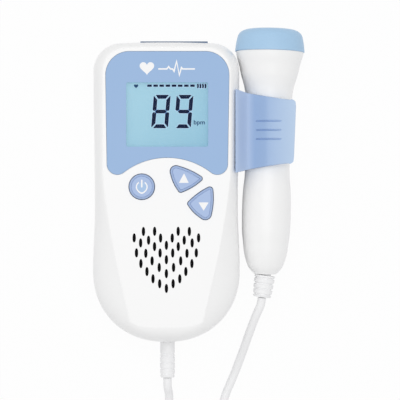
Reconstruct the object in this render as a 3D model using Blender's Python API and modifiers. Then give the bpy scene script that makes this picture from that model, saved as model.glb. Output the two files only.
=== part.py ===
"""A pocket fetal doppler monitor: a hand unit, a probe held in a side clip, and the probe's lead.

The unit lies on its back. +X runs to its right, +Y to its top end and +Z out of its face.
Places are written about the middle of the unit, at the height of its back, and one empty
moves everything so that the origin lies under the middle of the unit and its probe.
"""

import math

import bmesh
import bpy
from mathutils import Matrix, Vector

MM = 0.001

# Fits shared by all pieces
FIT = 0.3 * MM
OVERRUN = 2.0 * MM
FILL = 1.0 * MM
MERGE = 0.001 * MM
FINE_SIDES = 20
ROUND_SIDES = 16
SMALL_SIDES = 12
SCREW_SIDES = 10
SMOOTH_ANGLE = math.radians(40)

# The unit's casing
UNIT_HALF_LENGTH = 67.6 * MM
UNIT_HALF_WIDTH = 32.6 * MM
UNIT_DEPTH = 32.0 * MM
WALL = 2.2 * MM
PARTING_HEIGHT = 14.0 * MM
FLANK_BASE = 20.0 * MM
FLANK_ANGLES = [math.radians(angle) for angle in (0, 20, 40, 60)]
TOP_CROWN = 0.4 * MM
CORNER_RADIUS = 12.5 * MM
WAIST_Y = -7.0 * MM
WAIST_INSET = 0.65 * MM
BULGE_Y = -35.0 * MM
BULGE_OUTSET = 0.25 * MM
END_POWER = 2.15
BACK_EDGE_INSET = 4.5 * MM
BACK_EDGE_HEIGHT = 5.5 * MM
BACK_ANGLES = [math.radians(angle) for angle in (90, 60, 30, 0)]
TOP_STEPS = 3
CORNER_STEPS = 5
SIDE_STEPS = 7
END_STEPS = 8
FRONT_BOSS_RADIUS = 3.0 * MM
UPPER_BOSS_INSET = 7.6 * MM
UPPER_BOSS_X = UNIT_HALF_WIDTH - UPPER_BOSS_INSET

# The raised front panel of the casing
PANEL_TOP = 64.5 * MM
PANEL_SIDE_INSET = 3.9 * MM
PANEL_HALF_WIDTH = UNIT_HALF_WIDTH - PANEL_SIDE_INSET
PANEL_CROWN = 0.3 * MM
PANEL_CORNER = 11.0 * MM
PANEL_TAPER_Y = 10.0 * MM
PANEL_END_Y = -56.0 * MM
PANEL_END_HALF_WIDTH = 16.9 * MM
PANEL_END_POWER = 2.6
PANEL_BOTTOM = -60.0 * MM
PANEL_TAPER_POWER = 1.42
PANEL_EDGE_INSET = 0.4 * MM
PANEL_EDGE_DROP = 0.3 * MM
PANEL_INNER_INSET = 1.6 * MM

# The coloured plate around the display
FACEPLATE_BORDER = 1.45 * MM
FACEPLATE_TAPER = 0.6 * MM
FACEPLATE_HALF_WIDTH = PANEL_HALF_WIDTH - FACEPLATE_BORDER
FACEPLATE_LOWER_HALF_WIDTH = FACEPLATE_HALF_WIDTH - FACEPLATE_TAPER
FACEPLATE_TOP = 62.1 * MM
FACEPLATE_CORNER = 10.4 * MM
FACEPLATE_LOBE = 4.6 * MM
FACEPLATE_THICKNESS = 0.8 * MM
FACEPLATE_RECESS = 1.0 * MM
ARCH_PEAK_Y = 15.2 * MM
ARCH_RADIUS = 31.5 * MM

# The display
DISPLAY_Y = 34.2 * MM
DISPLAY_HALF_WIDTH = 18.1 * MM
DISPLAY_HALF_HEIGHT = 14.2 * MM
DISPLAY_CORNER = 0.8 * MM
WINDOW_MARGIN = 1.1 * MM
WINDOW_THICKNESS = 0.8 * MM
GLASS_THICKNESS = 1.8 * MM
BACKLIGHT_THICKNESS = 1.8 * MM
FRAME_WALL = 2.0 * MM
STRIP_WIDTH = 2.3 * MM
STRIP_END_ROOM = 1.1 * MM
STRIP_HALF_LENGTH = DISPLAY_HALF_WIDTH - STRIP_END_ROOM

# The keys and the switches under them
KEY_PROUD = 1.2 * MM
KEY_EDGE = 0.6 * MM
KEY_FLANGE = 1.0 * MM
KEY_FLANGE_THICKNESS = 1.0 * MM
KEY_TRAVEL = 0.5 * MM
KEY_STEM_RADIUS = 1.5 * MM
POWER_KEY_PLACE = (-11.05 * MM, 2.35 * MM)
POWER_KEY_RADIUS = 5.75 * MM
UP_KEY_CORNERS = [
    (14.72 * MM, 5.94 * MM, 1.15 * MM),
    (4.23 * MM, 9.07 * MM, 2.65 * MM),
    (6.34 * MM, 1.00 * MM, 1.20 * MM),
]
DOWN_KEY_CORNERS = [
    (17.14 * MM, -9.48 * MM, 2.80 * MM),
    (19.08 * MM, 0.83 * MM, 1.50 * MM),
    (10.49 * MM, -5.08 * MM, 1.20 * MM),
]
PETAL_BULGE = 0.45 * MM
PETAL_CORNER_STEPS = 4
PETAL_SIDE_SHARES = [0.25, 0.5, 0.75]
POWER_KEY_SIDES = 24
SWITCH_SIZE = 6.0 * MM
SWITCH_HEIGHT = 1.6 * MM
SWITCH_PLUNGER_RADIUS = 1.6 * MM
SWITCH_PLUNGER_HEIGHT = 0.5 * MM

# The speaker grille: ovals set out in a heart, as shares of its half width and its height
GRILLE_HALF_WIDTH = 14.2 * MM
GRILLE_TOP_Y = -17.3 * MM
GRILLE_HEIGHT = 25.2 * MM
SLOT_HALF_WIDTH = 0.69 * MM
SLOT_HALF_LENGTH = 1.98 * MM
SLOT_SIDES = 8
MIDDLE_SLOT_SHARES = [0.245, 0.497, 0.741, 1.0]
PAIRED_SLOT_SHARES = [
    (0.366, 0.0), (0.713, 0.003), (1.0, 0.115), (0.181, 0.118),
    (0.8, 0.203), (0.554, 0.156), (0.369, 0.267), (0.929, 0.377),
    (0.639, 0.386), (0.196, 0.38), (0.444, 0.517), (0.792, 0.565),
    (0.223, 0.633), (0.604, 0.704), (0.416, 0.831), (0.209, 0.917),
]

# The speaker
SPEAKER_Y = -29.6 * MM
SPEAKER_RADIUS = 18.0 * MM
SPEAKER_RING_THICKNESS = 1.5 * MM
SPEAKER_RING_DEPTH = 3.5 * MM
SPEAKER_DEPTH = 6.9 * MM
SPEAKER_RIM_WIDTH = 1.3 * MM
SPEAKER_RIM_THICKNESS = 1.2 * MM
SPEAKER_BACK_RADIUS = 9.5 * MM
SPEAKER_BACK_THICKNESS = 1.0 * MM
SPEAKER_BACK_HOLE = 4.0 * MM
CONE_THICKNESS = 0.5 * MM
CONE_DEPTH = 3.8 * MM
CONE_CENTRE_RADIUS = 6.0 * MM
CONE_DOME = 0.5 * MM
MAGNET_RADIUS = 8.5 * MM
MAGNET_THICKNESS = 2.6 * MM

# The main board and what is soldered to it
BOARD_THICKNESS = 1.6 * MM
BOARD_FACE_DEPTH = 7.4 * MM
BOARD_FACE_HEIGHT = UNIT_DEPTH - BOARD_FACE_DEPTH
BOARD_EDGE_ROOM = 5.6 * MM
BOARD_HALF_WIDTH = UNIT_HALF_WIDTH - BOARD_EDGE_ROOM
BOARD_NECK_ROOM = 3.0 * MM
BOARD_NECK_HALF_WIDTH = UPPER_BOSS_X - FRONT_BOSS_RADIUS - BOARD_NECK_ROOM
BOARD_TOP = 62.0 * MM
BOARD_NECK_Y = 46.0 * MM
BOARD_BOTTOM = -10.0 * MM
BOARD_CORNER = 2.0 * MM
BOARD_SCREW_INSET = 3.0 * MM
BOARD_CORNER_SCREW_INSET = 3.5 * MM
BOARD_SCREW_PLACES = [
    (BOARD_CORNER_SCREW_INSET - BOARD_HALF_WIDTH, -4.0 * MM),
    (BOARD_HALF_WIDTH - BOARD_SCREW_INSET, 9.5 * MM),
    (-14.0 * MM, 57.0 * MM),
]
BOARD_POST_RADIUS = 2.4 * MM
BOARD_SCREW_RADIUS = 0.9 * MM
BOARD_SCREW_HEAD_RADIUS = 1.9 * MM
BOARD_SCREW_HEAD_HEIGHT = 1.2 * MM
BOARD_SCREW_LENGTH = 5.0 * MM
CONTROL_CHIP_PLACE = (0.0, 25.0 * MM)
CONTROL_CHIP_SIZE = (10.0 * MM, 10.0 * MM, 1.4 * MM)
CHIP_EDGE_SHARE = 0.15
AUDIO_CHIP_INSET = 11.0 * MM
AUDIO_CHIP_PLACE = (AUDIO_CHIP_INSET - BOARD_HALF_WIDTH, -2.0 * MM)
AUDIO_CHIP_SIZE = (6.0 * MM, 5.0 * MM, 1.4 * MM)
CRYSTAL_INSET = 4.5 * MM
CRYSTAL_PLACE = (CRYSTAL_INSET - BOARD_HALF_WIDTH, 25.0 * MM)
CRYSTAL_SIZE = (4.0 * MM, 10.0 * MM, 3.5 * MM)
CAPACITOR_INSET = 4.7 * MM
CAPACITOR_PLACE = (BOARD_HALF_WIDTH - CAPACITOR_INSET, 32.0 * MM)
CAPACITOR_RADIUS = 2.6 * MM
CAPACITOR_HEIGHT = 7.0 * MM

# The sockets at the top end, and the cover over them
HEADPHONE_X = -3.0 * MM
HEADPHONE_BODY = (6.0 * MM, 11.5 * MM, 5.6 * MM)
HEADPHONE_NOZZLE_RADIUS = 2.6 * MM
HEADPHONE_BORE_RADIUS = 1.75 * MM
HEADPHONE_BORE_DEPTH = 10.0 * MM
CHARGING_X = 10.0 * MM
CHARGING_SIZE = (7.6 * MM, 6.2 * MM, 2.8 * MM)
CHARGING_WALL = 0.5 * MM
CHARGING_DEPTH = 5.0 * MM
PORT_COVER_X = 3.4 * MM
PORT_COVER_HALF_WIDTH = 15.0 * MM
PORT_COVER_LOW = 15.2 * MM
PORT_COVER_HIGH = 23.8 * MM
PORT_COVER_PROUD = 0.2 * MM
PORT_COVER_THICKNESS = 1.4 * MM
PORT_COVER_INNER_Y = UNIT_HALF_LENGTH + PORT_COVER_PROUD - PORT_COVER_THICKNESS
PORT_COVER_EDGE = 0.4 * MM

# The battery compartment, in the back
BATTERY_RADIUS = 7.1 * MM
BATTERY_LENGTH = 49.2 * MM
BATTERY_NIPPLE_RADIUS = 2.7 * MM
BATTERY_NIPPLE_LENGTH = 1.3 * MM
BATTERY_RIM_RADIUS = 6.4 * MM
BATTERY_GAP = 0.8 * MM
BATTERY_X = BATTERY_RADIUS + BATTERY_GAP / 2
BATTERY_SIDE_ROOM = 1.1 * MM
BATTERY_END_ROOM = 3.25 * MM
BATTERY_TOP_ROOM = 0.6 * MM
BATTERY_DOOR_ROOM = 0.65 * MM
COMPARTMENT_Y = 8.0 * MM
COMPARTMENT_HALF_WIDTH = BATTERY_X + BATTERY_RADIUS + BATTERY_SIDE_ROOM
COMPARTMENT_HALF_LENGTH = (BATTERY_LENGTH + BATTERY_NIPPLE_LENGTH) / 2 + BATTERY_END_ROOM
COMPARTMENT_WALL = 1.6 * MM
CONTACT_THICKNESS = 0.4 * MM
CONTACT_HALF_WIDTH = 5.0 * MM
CONTACT_LOW = 5.0 * MM
CONTACT_HIGH = 15.0 * MM
CONTACT_LEAF_LOW = 7.0 * MM
CONTACT_LEAF_HIGH = 13.0 * MM
DOOR_SIDE_MARGIN = 2.3 * MM
DOOR_END_MARGIN = 2.5 * MM
DOOR_HALF_WIDTH = COMPARTMENT_HALF_WIDTH + DOOR_SIDE_MARGIN
DOOR_HALF_LENGTH = COMPARTMENT_HALF_LENGTH + DOOR_END_MARGIN
DOOR_THICKNESS = 1.6 * MM
DOOR_SINK = 0.15 * MM
BATTERY_HEIGHT = DOOR_SINK + DOOR_THICKNESS + BATTERY_DOOR_ROOM + BATTERY_RADIUS
COMPARTMENT_TOP = BATTERY_HEIGHT + BATTERY_RADIUS + BATTERY_TOP_ROOM
DOOR_LEDGE_HEIGHT = 2.05 * MM
LEDGE_BLOCK_WIDTH = 1.8 * MM
LEDGE_BLOCK_HIGH = 4.2 * MM
TONGUE_X = 9.0 * MM
TONGUE_HALF_WIDTH = 3.0 * MM
TONGUE_REACH = 2.0 * MM
TONGUE_ROOT = 1.4 * MM
TONGUE_THICKNESS = 1.4 * MM
TONGUE_ROOM = 0.85 * MM
LATCH_HALF_WIDTH = 5.0 * MM
LATCH_THICKNESS = 1.2 * MM
LATCH_INSET = 0.6 * MM
LATCH_HIGH = 4.6 * MM
LATCH_ROOM = 0.6 * MM

# The screws that hold the two shells together, from the back
CASE_SCREW_PLACES = [
    (UPPER_BOSS_X, 54.5 * MM),
    (-UPPER_BOSS_X, 54.5 * MM),
    (18.5 * MM, -44.5 * MM),
    (-18.5 * MM, -44.5 * MM),
]
CASE_SCREW_RADIUS = 1.25 * MM
CASE_SCREW_HEAD_RADIUS = 2.2 * MM
CASE_SCREW_HEAD_HEIGHT = 1.7 * MM
CASE_SCREW_SEAT = 9.0 * MM
CASE_SCREW_TIP = 24.0 * MM
CASE_BOSS_RADIUS = 3.6 * MM
CASE_COUNTERBORE_RADIUS = 2.6 * MM

# The probe's socket in the bottom end, its board and its plug
PLUG_X = 0.5 * MM
PLUG_HEIGHT = 10.0 * MM
PROBE_SOCKET_SIZE = (8.0 * MM, 12.3 * MM, 7.0 * MM)
PROBE_SOCKET_END_Y = -64.8 * MM
PROBE_SOCKET_NOZZLE_RADIUS = 2.9 * MM
PROBE_SOCKET_NOZZLE_END_Y = -67.1 * MM
PROBE_SOCKET_BORE_DEPTH = 13.4 * MM
SOCKET_BOARD_SIZE = (18.0 * MM, 12.0 * MM, 1.2 * MM)
SOCKET_BOARD_SETBACK = 2.0 * MM
SOCKET_POST_X = 7.5 * MM
SOCKET_POST_RADIUS = 1.6 * MM
PLUG_PIN_RADIUS = 1.75 * MM
PLUG_PIN_LENGTH = 12.6 * MM
PLUG_PIN_TIP = 1.2 * MM
PLUG_GAP = 0.4 * MM
PLUG_BOOT_RADIUS = 3.5 * MM
PLUG_BOOT_LENGTH = 15.8 * MM
PLUG_COLLAR_LENGTH = 5.8 * MM
PLUG_BOOT_END_RADIUS = 2.9 * MM
PLUG_GROOVE_WIDTH = 0.8 * MM
PLUG_GROOVE_DEPTH = 0.5 * MM
PLUG_GROOVE_COUNT = 4

# The probe's place and girth, which the clip follows
PROBE_HEIGHT = 16.0 * MM
PROBE_FOOT_Y = -36.8 * MM
PROBE_TILT = math.radians(-1.22)
PROBE_GRIP_RADIUS = 11.0 * MM

# The clip on the unit's side that holds the probe
CLIP_ROOM = 0.1 * MM
CLIP_INNER_RADIUS = PROBE_GRIP_RADIUS - CLIP_ROOM
CLIP_STAND_OFF = 0.55 * MM
CLIP_BASE_X = UNIT_HALF_WIDTH + CLIP_STAND_OFF
CLIP_BACK_THICKNESS = 0.35 * MM
PROBE_FOOT = (CLIP_BASE_X + CLIP_BACK_THICKNESS + CLIP_INNER_RADIUS, PROBE_FOOT_Y)
CLIP_OVERLAP = 2.1 * MM
CLIP_LEFT_X = UNIT_HALF_WIDTH - CLIP_OVERLAP
CLIP_TIP_REACH = 14.1 * MM
CLIP_RIGHT_X = PROBE_FOOT[0] + CLIP_TIP_REACH
CLIP_LEFT_LOW_Y = 8.5 * MM
CLIP_LEFT_HIGH_Y = 45.6 * MM
CLIP_RIGHT_LOW_Y = 12.7 * MM
CLIP_RIGHT_HIGH_Y = 41.0 * MM
CLIP_EDGE_BOW = 0.7 * MM
CLIP_CORNER = 2.6 * MM
CLIP_VALLEY_OFFSET = 3.15 * MM
CLIP_VALLEY_X = CLIP_BASE_X + CLIP_VALLEY_OFFSET
CLIP_INNER_TOP = PROBE_HEIGHT + CLIP_INNER_RADIUS
CLIP_VALLEY_DROP = 0.3 * MM
CLIP_VALLEY_HEIGHT = CLIP_INNER_TOP - CLIP_VALLEY_DROP
CLIP_CREST_THICKNESS = 2.6 * MM
CLIP_CREST_HEIGHT = CLIP_INNER_TOP + CLIP_CREST_THICKNESS
CLIP_TIP_THICKNESS = 0.9 * MM
CLIP_TIP_HEIGHT = CLIP_INNER_TOP + CLIP_TIP_THICKNESS
CLIP_FLANGE_THICKNESS = 1.5 * MM
CLIP_FLANGE_DROP = 0.6 * MM
CLIP_FLANGE_HIGH = UNIT_DEPTH - CLIP_FLANGE_DROP
CLIP_FLANGE_LOW = CLIP_FLANGE_HIGH - CLIP_FLANGE_THICKNESS
CLIP_FLANGE_ROOT = 25.0 * MM
CLIP_REAR_THICKNESS = 2.0 * MM
CLIP_REAR_REACH = 9.6 * MM
CLIP_REAR_END_X = PROBE_FOOT[0] + CLIP_REAR_REACH
CLIP_REAR_CORNER = 4.0 * MM
CLIP_ARC_STEPS = 8
CLIP_GROOVE_Y = 27.5 * MM
CLIP_GROOVE_PITCH = 4.0 * MM
CLIP_GROOVE_COUNT = 3
CLIP_GROOVE_HALF_LENGTH = 5.6 * MM
CLIP_GROOVE_RADIUS = 0.6 * MM
CLIP_SCREW_RAISE = 4.6 * MM
CLIP_SCREW_HEIGHT = PROBE_HEIGHT + CLIP_SCREW_RAISE
CLIP_SCREW_YS = [20.0 * MM, 34.0 * MM]
CLIP_SCREW_RADIUS = 1.15 * MM
CLIP_SCREW_HEAD_RADIUS = 1.9 * MM
CLIP_SCREW_HEAD_HEIGHT = 1.3 * MM
CLIP_SCREW_REACH = 2.45 * MM
CLIP_SCREW_TIP_X = CLIP_BASE_X + CLIP_SCREW_REACH
CLIP_SCREW_SEAT_X = UNIT_HALF_WIDTH - WAIST_INSET - WALL

# The probe, whose own frame has Z along it, from its foot to its cap
PROBE_BODY_LENGTH = 99.6 * MM
PROBE_WALL = 1.8 * MM
PROBE_PROFILE_SHARES = [
    (1.0, 1.382), (0.973, 1.327), (0.946, 1.25), (0.919, 1.195), (0.892, 1.14),
    (0.869, 1.075), (0.829, 0.985), (0.77, 0.945), (0.648, 0.912), (0.463, 0.912),
    (0.382, 0.973), (0.301, 1.0), (0.22, 0.991), (0.179, 0.973), (0.138, 0.927),
    (0.098, 0.882), (0.057, 0.791), (0.026, 0.664), (0.0, 0.455),
]
CAP_LIP = 0.4 * MM
CAP_RADIUS = PROBE_GRIP_RADIUS * PROBE_PROFILE_SHARES[0][1] + CAP_LIP
CAP_HEIGHT = 10.25 * MM
CAP_WALL = 1.6 * MM
CAP_SHARES = [(0.6, 0.0), (0.79, 0.075), (0.875, 0.17), (0.935, 0.35), (1.0, 1.0)]
SPIGOT_HEIGHT = 3.5 * MM
HOLDER_RADIUS = 12.2 * MM
WIRE_HOLE_RADIUS = 2.4 * MM
TRANSDUCER_RADIUS = 11.0 * MM
TRANSDUCER_THICKNESS = 1.2 * MM
TRANSDUCER_SPLIT = 0.8 * MM
PROBE_BOARD_HALF_WIDTH = 7.6 * MM
PROBE_BOARD_LOW = 30.0 * MM
PROBE_BOARD_HIGH = 85.0 * MM
PROBE_BOARD_THICKNESS = 1.2 * MM
FOOT_HOLE_RADIUS = 3.0 * MM
RELIEF_TURN = math.radians(6.5)
RELIEF_ROOT_LENGTH = 6.0 * MM
RELIEF_ROOT_RADIUS = 2.6 * MM
RELIEF_LENGTH = 10.4 * MM
RELIEF_TOP_RADIUS = 4.5 * MM
RELIEF_END_RADIUS = 3.8 * MM
RELIEF_GROOVE_COUNT = 4
RELIEF_GROOVE_DEPTH = 0.6 * MM
RELIEF_GROOVE_WIDTH = 0.9 * MM

# The lead
CORD_RADIUS = 1.9 * MM
CORD_SPACING = 7.6 * MM
CORD_A_ROUTE = [
    (42.95 * MM, -47.45 * MM, 16.0 * MM),
    (42.35 * MM, -51.0 * MM, 15.7 * MM),
    (40.3 * MM, -55.8 * MM, 14.3 * MM),
    (37.7 * MM, -63.3 * MM, 10.8 * MM),
    (35.3 * MM, -70.9 * MM, 6.8 * MM),
    (33.4 * MM, -76.6 * MM, 4.2 * MM),
    (31.4 * MM, -82.2 * MM, 2.6 * MM),
    (29.1 * MM, -87.7 * MM, 2.1 * MM),
    (26.9 * MM, -93.2 * MM, 2.0 * MM),
    (24.9 * MM, -101.0 * MM, 2.1 * MM),
    (24.7 * MM, -106.8 * MM, 2.4 * MM),
]
CORD_B_ROUTE = [
    (-0.2 * MM, -102.8 * MM, 5.9 * MM),
    (1.2 * MM, -96.6 * MM, 5.2 * MM),
    (1.15 * MM, -91.8 * MM, 6.9 * MM),
    (0.55 * MM, -88.0 * MM, 9.7 * MM),
]
COIL_CENTRE = (8.2 * MM, -135.0 * MM)
COIL_LEAST_RADIUS = 15.0 * MM
COIL_PITCH = 4.35 * MM
COIL_HEIGHT = 3.05 * MM
COIL_ENTRY = math.radians(36)
COIL_EXIT = math.radians(130)
COIL_WHOLE_TURNS = 6
COIL_CLIMB_TURNS = 0.5
COIL_TURN_STEPS = 24
TIE_HALF_WIDTH = 2.0 * MM
TIE_THICKNESS = 0.7 * MM
TIE_ROOM = 0.4 * MM


def clear_scene():
    """Removes what the scene holds and returns the collections for pieces and for tools."""
    for old in list(bpy.data.objects):
        bpy.data.objects.remove(old)
    groups = []
    for name in ("fetal_doppler_monitor", "construction"):
        group = bpy.data.collections.get(name) or bpy.data.collections.new(name)
        if name not in bpy.context.scene.collection.children:
            bpy.context.scene.collection.children.link(group)
        groups.append(group)
    return groups


PIECES, TOOLS = clear_scene()


def empty(name, place=(0, 0, 0), turn=(0, 0, 0), parent=None):
    """A frame that pieces are placed in."""
    made = bpy.data.objects.new(name, None)
    made.location = place
    made.rotation_euler = turn
    made.parent = parent
    PIECES.objects.link(made)
    return made


ORIGIN = empty("monitor_frame")
PROBE_FRAME = empty(
    "probe_frame",
    (PROBE_FOOT[0], PROBE_FOOT[1], PROBE_HEIGHT),
    (-math.pi / 2, 0, PROBE_TILT),
    ORIGIN,
)
RELIEF_FRAME = empty("relief_frame", (0, 0, 0), (0, RELIEF_TURN, 0), PROBE_FRAME)


def finish(name, red, green, blue, roughness, metallic=0.0, alpha=1.0):
    """A material whose colour is given as it looks on screen, from 0 to 255."""
    made = bpy.data.materials.new(name)
    made.use_nodes = True
    shader = made.node_tree.nodes["Principled BSDF"]
    linear = [((value / 255 + 0.055) / 1.055) ** 2.4 for value in (red, green, blue)]
    shader.inputs["Base Color"].default_value = (*linear, 1.0)
    shader.inputs["Roughness"].default_value = roughness
    shader.inputs["Metallic"].default_value = metallic
    shader.inputs["Alpha"].default_value = alpha
    made.diffuse_color = (*linear, alpha)
    return made


WHITE_SHELL = finish("white_shell", 242, 242, 244, 0.32)
BLUE_PLATE = finish("blue_plate", 155, 187, 226, 0.35)
CLIP_BLUE = finish("clip_blue", 168, 190, 224, 0.4)
KEY_BLUE = finish("key_blue", 174, 194, 228, 0.3)
CAP_BLUE = finish("cap_blue", 167, 203, 235, 0.45)
CLEAR_WINDOW = finish("clear_window", 235, 244, 248, 0.08, alpha=0.3)
DISPLAY_BLUE = finish("display_blue", 165, 208, 228, 0.2)
LIGHT_GUIDE = finish("light_guide", 225, 240, 246, 0.3)
FRAME_PLASTIC = finish("frame_plastic", 230, 230, 228, 0.5)
BOARD_GREEN = finish("board_green", 40, 110, 70, 0.45)
CHIP_BLACK = finish("chip_black", 32, 32, 34, 0.5)
BRIGHT_METAL = finish("bright_metal", 200, 200, 202, 0.28, metallic=1.0)
BATTERY_WRAP = finish("battery_wrap", 70, 75, 85, 0.35)
CONE_PAPER = finish("cone_paper", 40, 40, 42, 0.8)
CORD_WHITE = finish("cord_white", 236, 237, 239, 0.45)
STRIP_RUBBER = finish("strip_rubber", 200, 120, 130, 0.7)
CERAMIC = finish("ceramic", 222, 206, 180, 0.5)


def add(name, mesh, material, parent=ORIGIN, place=(0, 0, 0), turn=(0, 0, 0)):
    """An object that holds a mesh. One with no material is a tool for cutting or joining."""
    made = bpy.data.objects.new(name, mesh)
    made.parent = parent
    made.location = place
    made.rotation_euler = turn
    if material:
        mesh.materials.clear()
        mesh.materials.append(material)
        PIECES.objects.link(made)
    else:
        made.hide_render = True
        made.display_type = "WIRE"
        TOOLS.objects.link(made)
    return made


def mesh_from(name, shape):
    """A mesh datablock with the faces of a bmesh, shaded smooth but for its sharp edges."""
    bmesh.ops.recalc_face_normals(shape, faces=shape.faces)
    mesh = bpy.data.meshes.new(name)
    shape.to_mesh(mesh)
    shape.free()
    mesh.shade_smooth()
    mesh.set_sharp_from_angle(angle=SMOOTH_ANGLE)
    return mesh


def evaluated_mesh(name, made):
    """The mesh that an object with modifiers or a curve comes to, its double points merged."""
    bpy.context.view_layer.update()
    graph = bpy.context.evaluated_depsgraph_get()
    raw = bpy.data.meshes.new_from_object(made.evaluated_get(graph))
    shape = bmesh.new()
    shape.from_mesh(raw)
    bmesh.ops.remove_doubles(shape, verts=shape.verts, dist=MERGE)
    return mesh_from(name, shape)


def middle(low, high):
    return [(a + b) / 2 for a, b in zip(low, high)]


def block(name, low, high, material=None, parent=ORIGIN, edge=0.0):
    """A box between two corners, with its edges rounded by a Bevel if edge is given."""
    shape = bmesh.new()
    bmesh.ops.create_cube(shape, size=1.0)
    size = [b - a for a, b in zip(low, high)]
    bmesh.ops.scale(shape, vec=size, verts=shape.verts)
    made = add(name, mesh_from(name, shape), material, parent, middle(low, high))
    if edge:
        round_edges(made, edge, 2)
    return made


def round_edges(made, width, segments):
    """Rounds the sharp edges of a piece."""
    bevel = made.modifiers.new("rounded_edges", "BEVEL")
    bevel.width = width
    bevel.segments = segments
    bevel.limit_method = "ANGLE"
    bevel.angle_limit = SMOOTH_ANGLE
    return made


def cylinder(name, radius, start, end, material=None, sides=ROUND_SIDES, parent=ORIGIN):
    """A cylinder from the middle of one end to the middle of the other."""
    start, end = Vector(start), Vector(end)
    shape = bmesh.new()
    bmesh.ops.create_cone(
        shape,
        cap_ends=True,
        segments=sides,
        radius1=radius,
        radius2=radius,
        depth=(end - start).length,
        matrix=(end - start).to_track_quat("Z", "Y").to_matrix().to_4x4(),
    )
    return add(name, mesh_from(name, shape), material, parent, (start + end) / 2)


def turned(
    name, profile, material=None, place=(0, 0, 0), turn=(0, 0, 0), sides=FINE_SIDES, parent=ORIGIN
):
    """A shape turned round its own Z from a profile of (radius, height), which runs down its outside.

    A profile that starts and ends off the axis is closed into a ring, and one that starts and
    ends on it is a solid."""
    mesh = bpy.data.meshes.new(name + "_profile")
    closed = profile[0][0] > 0
    count = len(profile)
    edges = [(index, (index + 1) % count) for index in range(count if closed else count - 1)]
    mesh.from_pydata([(radius, 0, height) for radius, height in profile], edges, [])
    lathe = bpy.data.objects.new(name + "_profile", mesh)
    TOOLS.objects.link(lathe)
    screw = lathe.modifiers.new("turning", "SCREW")
    screw.steps = sides
    screw.render_steps = sides
    screw.use_merge_vertices = True
    screw.merge_threshold = MERGE
    result = evaluated_mesh(name, lathe)
    bpy.data.objects.remove(lathe)
    return add(name, result, material, parent, place, turn)


def plate(name, outline, low, high, material=None, turn=(0, 0, 0), place=(0, 0, 0), parent=ORIGIN):
    """A flat outline made as thick as from low to high along its own Z."""
    curve = bpy.data.curves.new(name, "CURVE")
    curve.dimensions = "2D"
    curve.fill_mode = "BOTH"
    curve.extrude = (high - low) / 2
    spline = curve.splines.new("POLY")
    spline.points.add(len(outline) - 1)
    for point, (x, y) in zip(spline.points, outline):
        point.co = (x, y, 0, 1)
    spline.use_cyclic_u = True
    drawn = bpy.data.objects.new(name, curve)
    TOOLS.objects.link(drawn)
    result = evaluated_mesh(name, drawn)
    bpy.data.objects.remove(drawn)
    result.transform(Matrix.Translation((0, 0, (low + high) / 2)))
    return add(name, result, material, parent, place, turn)


def boolean(target, operation, *tools):
    """Cuts, joins or intersects a piece with tools that don't overlap each other."""
    shape = bmesh.new()
    bpy.context.view_layer.update()
    graph = bpy.context.evaluated_depsgraph_get()
    back = target.matrix_world.inverted()
    for tool in tools:
        part = bpy.data.meshes.new_from_object(tool.evaluated_get(graph))
        part.transform(back @ tool.matrix_world)
        shape.from_mesh(part)
        bpy.data.objects.remove(tool)
    merged = bpy.data.meshes.new(target.name + "_tool")
    shape.to_mesh(merged)
    shape.free()
    kept = add(target.name + "_tool", merged, None, target)
    modifier = target.modifiers.new("shaping", "BOOLEAN")
    modifier.operation = operation
    modifier.solver = "EXACT"
    modifier.object = kept
    return target


def cut(target, *tools):
    return boolean(target, "DIFFERENCE", *tools)


def join(target, *tools):
    return boolean(target, "UNION", *tools)


def pivot(made, point):
    """Moves a piece's origin to a point of its parent's frame without moving the piece."""
    shift = Matrix.Translation(made.location - Vector(point))
    made.data.transform(shift)
    for child in made.children:
        child.location = Vector(child.location) + made.location - Vector(point)
    made.location = point
    return made


def arc(x, y, radius, start, end, steps):
    """Points of a circle's arc, with both ends. Angles are in degrees."""
    angles = [math.radians(start + (end - start) * step / steps) for step in range(steps + 1)]
    return [(x + radius * math.cos(a), y + radius * math.sin(a)) for a in angles]


def ease(share):
    """Goes from 0 to 1 with no slope at its ends."""
    share = min(1.0, max(0.0, share))
    return share * share * (3 - 2 * share)


def steps_between(start, end, count):
    """The values after start, up to end, in count equal steps."""
    return [start + (end - start) * step / count for step in range(1, count + 1)]


def casing_side(y, inset):
    """The casing's half width at the height y of its straight side."""
    if y > WAIST_Y:
        shoulder = UNIT_HALF_LENGTH - TOP_CROWN - CORNER_RADIUS
        return UNIT_HALF_WIDTH - inset - WAIST_INSET * ease((shoulder - y) / (shoulder - WAIST_Y))
    swell = ease((WAIST_Y - y) / (WAIST_Y - BULGE_Y))
    return UNIT_HALF_WIDTH - inset - WAIST_INSET + (WAIST_INSET + BULGE_OUTSET) * swell


def rounded_end(half_width, low_y, depth, power):
    """The last quarter of an outline, from its side to its lowest point."""
    points = []
    for angle in steps_between(0, math.pi / 2, END_STEPS):
        across = max(0.0, math.cos(angle)) ** (2 / power)
        down = math.sin(angle) ** (2 / power)
        points.append((half_width * across, low_y - depth * down))
    points[-1] = (0.0, low_y - depth)
    return points


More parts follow.
